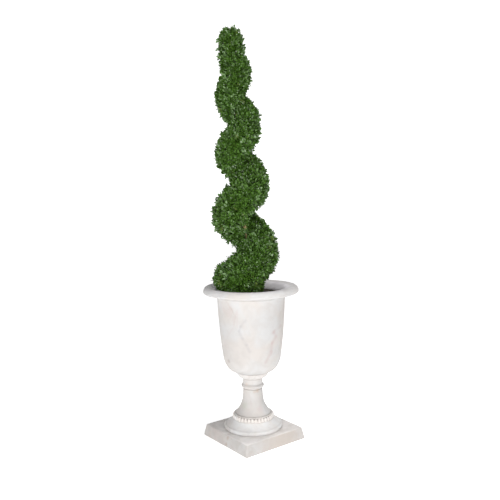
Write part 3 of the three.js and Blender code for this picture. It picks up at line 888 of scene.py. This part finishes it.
# %% Dress the plinth
SOIL_BROWN = (0.36, 0.25, 0.18)
plinth_grooves = [(plinth_low.z, 0.003, 0.6)]
plinth_stains = [
    ((-0.137, -0.007, plinth_high.z), 0.010, 0.70, (0.30, 0.12, 0.10)),
    ((-0.148, -0.018, 0.038), 0.012, 0.55, SOIL_BROWN),
    ((-0.153, -0.014, 0.012), 0.012, 0.55, SOIL_BROWN),
    ((0.03, -0.158, 0.02), 0.20, 0.85, (0.54, 0.485, 0.44)),
]
plinth_marble = marble(
    "plinth_marble",
    plinth_grooves,
    stains=plinth_stains,
    shift=(2.6, 1.1, 0),
    tone=0.80,
    top_dust_and_tone=0.75,
    top_dust_and_tone_tint=(0.82, 0.79, 0.775),
    rust=0.5,
    wear=1.0,
)
dress(plinth, plinth_marble, "cast_stone", "plinth")

# %% [markdown]
# ## Earth
#
# The bowl is filled with dark, damp potting earth. It is turned as a plug that stands a little
# clear of the bowl's wall, then its top is moved up and down by two sizes of noise: low lumps
# and small crumbs.

# %% Fill the bowl
earth_low, earth_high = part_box("earth")
EARTH_SKIN = 0.0008
EARTH_RINGS = 40
LUMPS = 0.0030
CRUMBS = 0.0016
edge = MOUTH - EARTH_SKIN
earth_floor = BOWL_FLOOR + EARTH_SKIN
earth_top = EARTH_LEVEL - 0.004

section = [(0, earth_floor), (0.044, earth_floor)]
section += [(edge - 0.024, 0.066), (edge - 0.009, 0.170), (edge - 0.001, EARTH_LEVEL - 0.03)]
section += [(edge - 0.0005, EARTH_LEVEL - 0.010)]
section += [(edge * ring / EARTH_RINGS, earth_top) for ring in range(EARTH_RINGS, 0, -1)]
section += [(0, earth_top)]
earth = turn_on_lathe("earth_fill", stacked(section, "bowl"), steps=120, bevel=0)
for vertex in earth.data.vertices:
    if vertex.co.z > earth_high.z - 0.006:
        bumps = noise.noise(vertex.co * 45) * LUMPS + noise.noise(vertex.co * 160) * CRUMBS
        vertex.co.z += bumps

# %% Dress the earth
n = Finish("damp_earth")
n.bump(n.noise(420, 6), 0.8, 0.002)
crumb_tone = n.ramp(n.noise(90, 6), 0.3, 0.7)
earth_colour = n.mix(crumb_tone, (0.012, 0.009, 0.007), (0.050, 0.036, 0.025))
damp_earth = n.close(earth_colour, n.ramp(n.noise(60, 3), 0.3, 0.7, 0.75, 0.98))
dress(earth, damp_earth, "earth", "earth")

# %% [markdown]
# ## Trunk
#
# The trunk leans from the middle of the urn and runs up through the foliage, flaring a little
# at its foot. Its axis and its radius at any height are worked out from a few sizes. The
# foliage needs them too, so both take one height or a whole array.

# %% Lean and taper of the trunk
LEAN_HEADING = math.radians(142.82)
TRUNK_LEAN = 0.063
TRUNK_RADIUS = 0.0105
TRUNK_TIP = 0.0035
ROOT_FLARE = 0.008
FLARE_HEIGHT = 0.024
trunk_low, trunk_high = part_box("trunk")
TRUNK_BASE = trunk_low.z
TRUNK_TOP = trunk_high.z
LEAN = np.array([math.cos(LEAN_HEADING), math.sin(LEAN_HEADING)])


def trunk_axis(height):
    height = np.asarray(height, float)
    across = TRUNK_LEAN * (height - TRUNK_BASE)
    return np.stack([LEAN[0] * across, LEAN[1] * across, height], -1)


def trunk_radius(height):
    height = np.asarray(height, float)
    rise = np.clip((height - TRUNK_BASE) / (TRUNK_TOP - TRUNK_BASE), 0, 1)
    flare = ROOT_FLARE * np.exp(-np.maximum(height - TRUNK_BASE, 0) / FLARE_HEIGHT)
    return TRUNK_RADIUS + (TRUNK_TIP - TRUNK_RADIUS) * rise + flare


print("trunk from", round(TRUNK_BASE, 3), "to", round(TRUNK_TOP, 3))

# %% [markdown]
# A curve with a round bevel would do for the trunk, but its radius is easier to hold when it
# is extruded: a circle goes upwards step by step, each step moved along the lean and scaled.
# The steps are closest at the foot, where the flare bends most.

# %% Grow the trunk
TRUNK_STEPS = 170
heights = TRUNK_BASE + (TRUNK_TOP - TRUNK_BASE) * np.linspace(0, 1, TRUNK_STEPS) ** 1.15
bpy.ops.object.select_all(action="DESELECT")
bpy.ops.mesh.primitive_circle_add(
    vertices=36, radius=trunk_radius(TRUNK_BASE), fill_type="NGON", location=(0, 0, TRUNK_BASE)
)
trunk = bpy.context.active_object
trunk.name = "trunk_bark"
edit_mode(trunk)
bpy.ops.mesh.select_all(action="SELECT")
for below, above in zip(heights, heights[1:]):
    step = trunk_axis(above) - trunk_axis(below)
    bpy.ops.mesh.extrude_region_move(TRANSFORM_OT_translate={"value": tuple(step)})
    scale = float(trunk_radius(above) / trunk_radius(below))
    bpy.ops.transform.resize(value=(scale, scale, 1), center_override=tuple(trunk_axis(above)))
bpy.ops.mesh.select_all(action="SELECT")
bpy.ops.mesh.normals_make_consistent(inside=False)
object_mode()
bpy.ops.object.transform_apply(location=True)
print("trunk", len(trunk.data.polygons), "faces")

# %% [markdown]
# Bark has long shallow ridges with short cracks across them. Both are noise that moves the
# skin in and out. The noise goes round the trunk on a circle, so it has no seam, and changes
# slowly up the trunk, which stretches it.

# %% Cut and colour the bark
RIDGE_DEPTH = 0.10
CRACK_DEPTH = 0.05

for vertex in trunk.data.vertices:
    middle = trunk_axis(vertex.co.z)
    outward = Vector((vertex.co.x - middle[0], vertex.co.y - middle[1], 0))
    if outward.length < 0.001:
        continue
    around = outward.normalized()
    ridge = noise.noise(Vector((around.x * 3.2, around.y * 3.2, vertex.co.z * 14)))
    crack = noise.noise(Vector((around.x * 9, around.y * 9, vertex.co.z * 60)))
    vertex.co += around * (outward.length * (RIDGE_DEPTH * ridge + CRACK_DEPTH * crack))
bpy.ops.object.shade_smooth_by_angle(angle=math.radians(60))

# The pale tan of the streaks is painted light: it lifts the trunk where it shows through the shaded
# gaps in the foliage.
n = Finish("bark")
streaks = n.noise(150, 6, 0.3, stretch=(1, 1, 0.16))
pale_bark_painted_light_colour = n.mix(n.ramp(streaks, 0.30, 0.60), (0.14, 0.100, 0.040), (0.54, 0.44, 0.19))
lichen = n.ramp(n.noise(70, 4, shift=(2, 3, 4)), 0.60, 0.72, 0.0, 0.45)
pale_bark_painted_light_colour = n.mix(lichen, pale_bark_painted_light_colour, (0.36, 0.36, 0.18))
n.bump(streaks, 0.9, 0.002)
bark = n.close(pale_bark_painted_light_colour, n.ramp(streaks, 0.3, 0.7, 0.92, 0.72))
dress(trunk, bark, "bark", "trunk")

# %% [markdown]
# ## The rule of the spiral
#
# The foliage is a rope wound round the trunk, thinner and closer as it climbs. The solid
# model works it out from a few sizes, and the same rule is written here: a row of balls along
# the rope's centre line. The shears leave it a little uneven, so at every quarter turn it is
# moved some millimetres out and up. All places are worked out at once with arrays.

# %% Wind the rope
START_ANGLE = math.radians(164.52)
START_TURN = -0.27
END_TURN = 4.13
BALL_STEP = 0.02
TAPER_TURNS = 4.5
ROPE_HEIGHT = 0.6776
ROPE_PITCH = 0.3083
PITCH_LOSS = 0.0171
FOOT_PITCH = 0.170
ROPE_OFFSET = (0.0633, 0.001)
ROPE_RADIUS = (0.0856, 0.0466)
ROPE_SWELL = 0.0036
ROPE_SHIFT = 0.0084
ROPE_LEAN = 0.0465
UNEVEN_TURNS = np.arange(-0.5, 4.26, 0.25)
UNEVEN_OUT = [0, -3, 0, 0, -9, 8, 0, 1, -3, 0, -6, 0, 1, 4, 1, -1, -1, -5, 0, 8]
UNEVEN_UP = [0, 0, 3, -7, 4, 4, 2, 3, 0, 8, -8, -18, 9, 2, 0, 2, 1, -9, 0, 0]


def rope(turn):
    """Centre and radius of the rope at an array of turns."""
    rise = turn / TAPER_TURNS
    swell = ROPE_SWELL * 4 * rise * (1 - rise)
    climb = np.where(turn < 0, FOOT_PITCH * turn, ROPE_PITCH * turn - PITCH_LOSS * turn**2)
    height = ROPE_HEIGHT + climb + np.interp(turn, UNEVEN_TURNS, UNEVEN_UP) / 1000
    shift = ROPE_SHIFT + ROPE_LEAN * (height - TRUNK_BASE)
    offset = ROPE_OFFSET[0] + (ROPE_OFFSET[1] - ROPE_OFFSET[0]) * rise - swell
    offset = offset + np.interp(turn, UNEVEN_TURNS, UNEVEN_OUT) / 1000
    heading = START_ANGLE + 2 * math.pi * turn
    x = LEAN[0] * shift + np.cos(heading) * offset
    y = LEAN[1] * shift + np.sin(heading) * offset
    radius = ROPE_RADIUS[0] + (ROPE_RADIUS[1] - ROPE_RADIUS[0]) * rise + swell
    return np.stack([x, y, height], -1), radius


ball_centres, ball_radii = rope(np.arange(START_TURN, END_TURN, BALL_STEP))
crown = float((ball_centres[:, 2] + ball_radii).max())
print(len(ball_centres), "balls, up to", round(crown, 3))

# %% [markdown]
# The rope's surface at a height and a heading is the furthest point, seen from the trunk, that
# lies in any ball. Below FOOT_LEVEL the foliage hangs straight down, and its foot is clipped
# back over the urn's lip.

# %% Find the rope's surface
FOOT_LEVEL = 0.669
SKIRT_REACH = 0.141
SKIRT_SLOPE = 0.5


def rope_surface(heading, height):
    """Reach from the trunk's axis, and the ball that it lies on, for arrays of places."""
    ray = np.stack([np.cos(heading), np.sin(heading)], -1)
    level = np.maximum(height, FOOT_LEVEL)
    to_ball = ball_centres[None, :, :2] - trunk_axis(level)[:, None, :2]
    forward = (to_ball * ray[:, None, :]).sum(-1)
    rise = level[:, None] - ball_centres[None, :, 2]
    room = ball_radii**2 - rise**2 - ((to_ball**2).sum(-1) - forward**2)
    reach = np.where(room > 0, forward + np.sqrt(np.maximum(room, 0)), -1)
    skirt = SKIRT_REACH + SKIRT_SLOPE * np.maximum(0, height - bowl_high.z)
    return np.minimum(reach.max(1), skirt), reach.argmax(1)


reaches, _ = rope_surface(np.linspace(0, 2 * math.pi, 8, endpoint=False), np.full(8, 1.0))
print("reach at 1 m, every eighth of a round:", reaches.round(3))

# %% [markdown]
# ## Sprays
#
# Sprays stand all over the rope's surface with their tips clipped to it. Random places are
# thinned to one in each cell of a fine grid, which spreads them evenly. Each mass of the
# solid model has its own share of the places.

# %% Choose the places of the sprays
SPRAY_GRID = 0.0105
PLACES_PER_MASS = 42000
LEAST_REACH = 0.004
deal = np.random.default_rng(7)


def unit(vectors):
    return vectors / np.maximum(np.linalg.norm(vectors, axis=-1, keepdims=True), 1e-9)


def spray_places(low, high):
    """Even places on the rope's surface between two heights, with their outward directions."""
    heading = deal.uniform(0, 2 * math.pi, PLACES_PER_MASS)
    height = deal.uniform(low, high, PLACES_PER_MASS)
    reach, ball = rope_surface(heading, height)
    found = reach > LEAST_REACH
    heading, height, reach, ball = heading[found], height[found], reach[found], ball[found]
    around = np.stack([np.cos(heading), np.sin(heading), np.zeros_like(heading)], -1)
    tip = trunk_axis(height) + around * reach[:, None]
    cells = np.floor(tip / SPRAY_GRID).astype(int)
    _, first = np.unique(cells, axis=0, return_index=True)
    tip, ball = tip[first], ball[first]
    return tip, unit(tip - ball_centres[ball])


print("one spray in each", SPRAY_GRID * 1000, "mm cell")

# %% [markdown]
# A spray points outwards, leans by chance and turns up a little to the light. Its tip lies just
# under the clipped surface, so that the leaves reach it. It is shortened where its root would
# meet the trunk, and left out where it would touch the earth or the lip.

# %% Grow the sprays
SPRAY_LENGTH = 0.036
SPRAY_LENGTHS = (0.8, 1.15)
SPRAY_LEAN = 0.38
SPRAY_LIFT = 0.16
TIP_ROOM = 0.0118
TIP_SCATTER = 0.0062
TIP_LIMITS = (-0.003, 0.024)
CLEARANCE = 0.004
SHORTEST_SPRAY = 0.009


def pot_top(distance):
    """Height of the earth or the lip at a distance from the urn's axis."""
    inside = np.clip((distance - MOUTH) / (SHOULDER - MOUTH), 0, 1)
    outside = np.clip((distance - SHOULDER) / (RIDGE - SHOULDER), 0, 1)
    lip = bowl_high.z - LIP_FALL + (LIP_FALL - SHOULDER_DROP) * (1 - (1 - inside) ** 2)
    return np.where(distance < MOUTH, earth_high.z, lip + SHOULDER_DROP * outside)


def above_pot(points):
    return points[:, 2] - pot_top(np.hypot(points[:, 0], points[:, 1]))


def tangent_pair(direction):
    """Two directions square to each direction and to each other."""
    helper = np.where(np.abs(direction[:, 2:]) < 0.9, [[0, 0, 1.0]], [[1.0, 0, 0]])
    side = unit(np.cross(helper, direction))
    return side, np.cross(direction, side)


def grow_sprays(tip, outward):
    """Root, direction and length of each spray, kept clear of the trunk and the urn."""
    count = len(tip)
    side, over = tangent_pair(outward)
    spin = deal.uniform(0, 2 * math.pi, (count, 1))
    lean = np.abs(deal.normal(0, SPRAY_LEAN, (count, 1)))
    sideways = lean * (np.cos(spin) * side + np.sin(spin) * over)
    direction = unit(outward + sideways + [0, 0, SPRAY_LIFT])
    tip = tip - outward * deal.normal(TIP_ROOM, TIP_SCATTER, (count, 1)).clip(*TIP_LIMITS)
    length = SPRAY_LENGTH * deal.uniform(*SPRAY_LENGTHS, count)
    root = tip - direction * length[:, None]
    for _ in range(6):
        from_trunk = root - trunk_axis(root[:, 2])
        gap = np.linalg.norm(from_trunk[:, :2], axis=1) - trunk_radius(root[:, 2])
        short = (gap < CLEARANCE) | ((from_trunk * outward).sum(1) < 0)
        length = np.where(short, length * 0.8, length)
        root = tip - direction * length[:, None]
    pot_gap = np.minimum(above_pot(tip), above_pot(root))
    keep = (pot_gap > CLEARANCE) & (length > SHORTEST_SPRAY)
    return root[keep], direction[keep], length[keep]


print("sprays are about", SPRAY_LENGTH * 1000, "mm long")

# %% [markdown]
# ## Leaves
#
# Box has small oval leaves, glossy and a little cupped, in pairs that cross each other along
# a thin twig. A spray has five pairs. They spread widely at its foot and close up towards its
# tip, where they are smaller too.

# %% Set the leaves on the sprays
PAIRS = 5
FOOT_SPREAD = 62
TIP_CLOSING = 34
LEAF_SIZES = (0.82, 1.12)
TURN_SCATTER = 0.22
RISE_SCATTER = 0.20
AIM_SCATTER = 0.14
FACE_SCATTER = 0.36


def leaf_fans(root, direction, length):
    """Foot, direction, upper side, size and spray number of every leaf on every spray."""
    count = len(root)
    side, over = tangent_pair(direction)
    spin = deal.uniform(0, 2 * math.pi, (count, 1))
    cos, sin = np.cos(spin), np.sin(spin)
    side, over = cos * side + sin * over, cos * over - sin * side
    rows = []
    for pair in range(PAIRS):
        share = (pair + 0.35) / (PAIRS - 0.4)
        foot = root + direction * (length * share)[:, None]
        spread = math.radians(FOOT_SPREAD - TIP_CLOSING * share)
        for half in (0, 1):
            turn = math.pi * half + (math.pi / 2) * (pair % 2)
            turn = turn + deal.normal(0, TURN_SCATTER, (count, 1))
            rise = spread + deal.normal(0, RISE_SCATTER, (count, 1))
            away = np.cos(turn) * side + np.sin(turn) * over
            aim = np.cos(rise) * direction + np.sin(rise) * away
            aim = unit(aim + deal.normal(0, AIM_SCATTER, root.shape))
            face = unit(direction - (direction * aim).sum(1, keepdims=True) * aim)
            face = unit(face + deal.normal(0, FACE_SCATTER, root.shape))
            size = (1.06 - 0.30 * share) * deal.uniform(*LEAF_SIZES, count)
            rows.append((foot, aim, face, size, np.arange(count)))
    return [np.concatenate([row[k] for row in rows]) for k in range(5)]


print(2 * PAIRS, "leaves on each spray")

# %% [markdown]
# A flat card with a leaf painted on it would need fewer faces, but it shows at the outline of
# a clipped shrub. So one leaf is eight points in its own outline: its foot, two rows of three
# across the blade, and its tip. The edges lie lower than the midrib, which cups the blade.

# %% Shape one leaf
LEAF_LENGTH = 0.0180
LEAF_WIDTH = 0.0108

# Across in half widths, along in lengths, and up in half lengths.
LEAF_POINTS = np.array(
    [
        (0.0, 0.0, 0.0),
        (-1.0, 0.42, -0.16),
        (0.0, 0.40, 0.05),
        (1.0, 0.42, -0.16),
        (-0.80, 0.78, -0.20),
        (0.0, 0.80, 0.0),
        (0.80, 0.78, -0.20),
        (0.0, 1.0, -0.14),
    ]
)
LEAF_FACES = [(0, 3, 2), (0, 2, 1), (2, 3, 6, 5), (1, 2, 5, 4), (5, 6, 7), (4, 5, 7)]


def leaf_points(foot, aim, face, size):
    """The eight points of every leaf."""
    across = np.cross(aim, face)
    width = (LEAF_WIDTH / 2 * size)[:, None, None]
    length = (LEAF_LENGTH * size)[:, None, None]
    shape = LEAF_POINTS[None]
    return (
        foot[:, None, :]
        + across[:, None, :] * shape[..., :1] * width
        + aim[:, None, :] * shape[..., 1:2] * length
        + face[:, None, :] * shape[..., 2:] * length * 0.5
    )


print("a leaf has", len(LEAF_FACES), "faces")

# %% [markdown]
# In three small places the foliage is thin at the front, and a sliver of the trunk shows
# through. There the leaves right in front of the trunk are left out.

# %% Leave gaps at the trunk
GAPS = [(0.852, 0.880), (0.894, 0.909), (1.352, 1.364)]
GAP_HALF_WIDTH = 0.0078
GAP_FROM = 0.006


def over_a_gap(middle):
    """Whether a leaf covers one of the small gaps where the trunk shows through."""
    offset = middle - trunk_axis(middle[:, 2])
    across = offset @ np.array(TO_THE_RIGHT)
    before = offset @ np.array(TO_THE_FRONT)
    level = np.zeros(len(middle), bool)
    for low_end, high_end in GAPS:
        level |= (middle[:, 2] > low_end) & (middle[:, 2] < high_end)
    return (np.abs(across) < GAP_HALF_WIDTH) & (before > GAP_FROM) & level


print(len(GAPS), "gaps")

# %% [markdown]
# Tens of thousands of leaves would be far too many objects, and scattered instances get lost
# when the model is exported. So one mesh takes them all: its points, corners and faces are
# worked out as arrays from the faces of a single copy.

# %% Join many copies in one mesh
def joined_mesh(name, points, faces, face_greens, materials):
    """One mesh from many copies: points is copies x points x 3, faces are for one copy."""
    copies, per_copy = points.shape[:2]
    corners = np.concatenate([np.array(face) for face in faces])
    starts = np.cumsum([0] + [len(face) for face in faces[:-1]])
    offset = np.arange(copies)[:, None]
    all_corners = (corners[None] + offset * per_copy).ravel().astype(np.int32)
    all_starts = (starts[None] + offset * len(corners)).ravel().astype(np.int32)
    slots = np.repeat(face_greens, len(faces)).astype(np.int32)
    mesh = bpy.data.meshes.new(name)
    mesh.vertices.add(copies * per_copy)
    mesh.loops.add(copies * len(corners))
    mesh.polygons.add(copies * len(faces))
    mesh.vertices.foreach_set("co", points.astype(np.float32).ravel())
    mesh.loops.foreach_set("vertex_index", all_corners)
    mesh.polygons.foreach_set("loop_start", all_starts)
    for material in materials:
        mesh.materials.append(material)
    mesh.polygons.foreach_set("material_index", slots)
    mesh.update(calc_edges=True)
    mesh.validate()
    piece = bpy.data.objects.new(name, mesh)
    bpy.context.scene.collection.objects.link(piece)
    mesh.polygons.foreach_set("use_smooth", np.ones(len(mesh.polygons), bool))
    return piece


print("ready to join", len(LEAF_POINTS), "points a leaf")

# %% [markdown]
# ## Greens
#
# Box leaves are a deep, glossy green above. Fresh tips are lighter and yellower, older leaves
# inside are nearly black green, and a few are browned. A pale grey-green among them is a painted
# highlight that stands in for glints. Each spray takes one plain green, so the colours stay in
# place when the mesh is exported. A fine noise only varies the gloss.

# %% Mix the greens
GREENS = {
    "shade_green": (0.039, 0.093, 0.009),
    "deep_green": (0.053, 0.124, 0.013),
    "box_green": (0.068, 0.153, 0.019),
    "fresh_green": (0.089, 0.188, 0.032),
    # A pale grey-green that stands in for glints: a painted highlight, on fresh tips.
    "tip_and_glint_green": (0.165, 0.275, 0.105),
    "yellow_green": (0.130, 0.195, 0.040),
    "browned": (0.170, 0.125, 0.050),
}


def leaf_finish(name, colour):
    n = Finish(name)
    n.shader.inputs["Specular IOR Level"].default_value = 0.52
    n.bump(n.noise(900, 2), 0.25, 0.0004)
    return n.close(colour, n.ramp(n.noise(160, 2), 0.3, 0.7, 0.16, 0.30))


greens = [leaf_finish(name, colour) for name, colour in GREENS.items()]
print(len(greens), "greens")

# %% [markdown]
# The greens are dealt to the sprays by their shares, nudged a little by which patch of the
# foliage a spray grows in. The browned ones are dealt apart, as they are very few.

# %% Deal out the greens
GREEN_SHARES = (0.12, 0.27, 0.32, 0.20, 0.08, 0.01)
BROWNED_SHARE = 0.0006
PATCH_NUDGE = 0.06


def deal_greens(root):
    """The number of a green for each spray."""
    patch = np.array([noise.noise(Vector(place) * 14) for place in root])
    pick = np.clip(deal.uniform(0, 1, len(root)) + PATCH_NUDGE * patch, 0, 0.999)
    chosen = np.searchsorted(np.cumsum(GREEN_SHARES), pick).clip(0, len(GREENS) - 2)
    return np.where(deal.uniform(0, 1, len(root)) < BROWNED_SHARE, len(GREENS) - 1, chosen)


print("shares", dict(zip(GREENS, GREEN_SHARES)))

# %% [markdown]
# ## Boughs and twigs
#
# Each mass has one stem, which follows the rope's centre line and keeps clear of the trunk.
# From it boughs reach towards the surface, one for each cell of a coarse grid. Twigs run from
# the boughs to the foot of every spray, and a finer one goes up through the spray.

# %% Grow the wood
BOUGH_GRID = 0.045
BOUGH_RADII = (0.0026, 0.0014)
TWIG_RADII = (0.0011, 0.0007)
SPRIG_RADII = (0.0008, 0.0004)
TWIG_FACES = [(0, 1, 4, 3), (1, 2, 5, 4), (2, 0, 3, 5), (3, 4, 5), (2, 1, 0)]


def stem_line(low, high):
    """Points up the stem of one mass, between two heights."""
    line, _ = rope(np.linspace(START_TURN, END_TURN, 400))
    inside = (line[:, 2] > low - 0.02) & (line[:, 2] < high - 0.01)
    line = line[inside] if inside.any() else line[-3:]
    axis = trunk_axis(line[:, 2])
    far = np.linalg.norm(line - axis, axis=1)
    least = trunk_radius(line[:, 2]) + CLEARANCE
    return axis + unit(line - axis) * np.maximum(far, least)[:, None]


def tapered_twigs(start, end, radii):
    """Three-sided twigs, by three points round each end."""
    side, over = tangent_pair(unit(end - start))
    turns = (np.array([0, 2, 4]) * math.pi / 3)[None, :, None]
    ring = np.cos(turns) * side[:, None] + np.sin(turns) * over[:, None]
    low = start[:, None] + ring * radii[0]
    high = end[:, None] + ring * radii[1]
    return np.concatenate([low, high], 1)


def nearest(points, targets):
    """Index of the nearest target to each point."""
    return np.array([((targets - point) ** 2).sum(1).argmin() for point in points])


def grow_wood(line, root, direction, length):
    """The points of all boughs, twigs and sprigs of one mass."""
    cells = np.floor(root / BOUGH_GRID).astype(int)
    _, first = np.unique(cells, axis=0, return_index=True)
    bough_end = root[first] - direction[first] * 0.006
    bough_start = line[nearest(bough_end, line)]
    sprig_end = root + direction * (length * 0.93)[:, None]
    boughs = tapered_twigs(bough_start, bough_end, BOUGH_RADII)
    twigs = tapered_twigs(bough_end[nearest(root, bough_end)], root, TWIG_RADII)
    sprigs = tapered_twigs(root, sprig_end, SPRIG_RADII)
    return np.concatenate([boughs, twigs, sprigs])


n = Finish("twig_bark")
twig_colour = n.mix(n.noise(260, 3), (0.030, 0.042, 0.010), (0.075, 0.080, 0.030))
twig_bark = n.close(twig_colour, 0.75)
print("a twig has", len(TWIG_FACES), "faces")

# %% [markdown]
# ## Foliage
#
# Each mass of the solid model is replaced in its own turn, from the urn's lip to the crown.
# Leaves and twigs are joined apart, one mesh of each to a mass, so that a mesh stays small
# enough to handle and has only its own finish.

# %% Grow the foliage
MASSES = 9
CROWN_ROOM = 0.01
all_sprays = 0
all_leaves = 0

for index in range(1, MASSES + 1):
    node = f"foliage_{index}"
    low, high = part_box(node)
    top = high.z + (CROWN_ROOM if index == MASSES else 0)
    root, direction, length = grow_sprays(*spray_places(low.z, top))
    spray_greens = deal_greens(root)
    foot, aim, face, size, spray = leaf_fans(root, direction, length)
    kept = ~over_a_gap(foot + aim * (LEAF_LENGTH / 2 * size)[:, None])
    points = leaf_points(foot[kept], aim[kept], face[kept], size[kept])
    leaf_greens = spray_greens[spray[kept]]
    leaves = joined_mesh(f"{node}_leaves", points, LEAF_FACES, leaf_greens, greens)
    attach(leaves, "root")
    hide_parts(node)

    wood = grow_wood(stem_line(low.z, top), root, direction, length)
    one_bark = np.zeros(len(wood), int)
    branches = joined_mesh(f"{node}_twigs", wood, TWIG_FACES, one_bark, [twig_bark])
    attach(branches, "root")
    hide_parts(node)
    all_sprays += len(root)
    all_leaves += len(points)
    print(node, len(root), "sprays", len(points), "leaves")
print(all_sprays, "sprays and", all_leaves, "leaves in all")
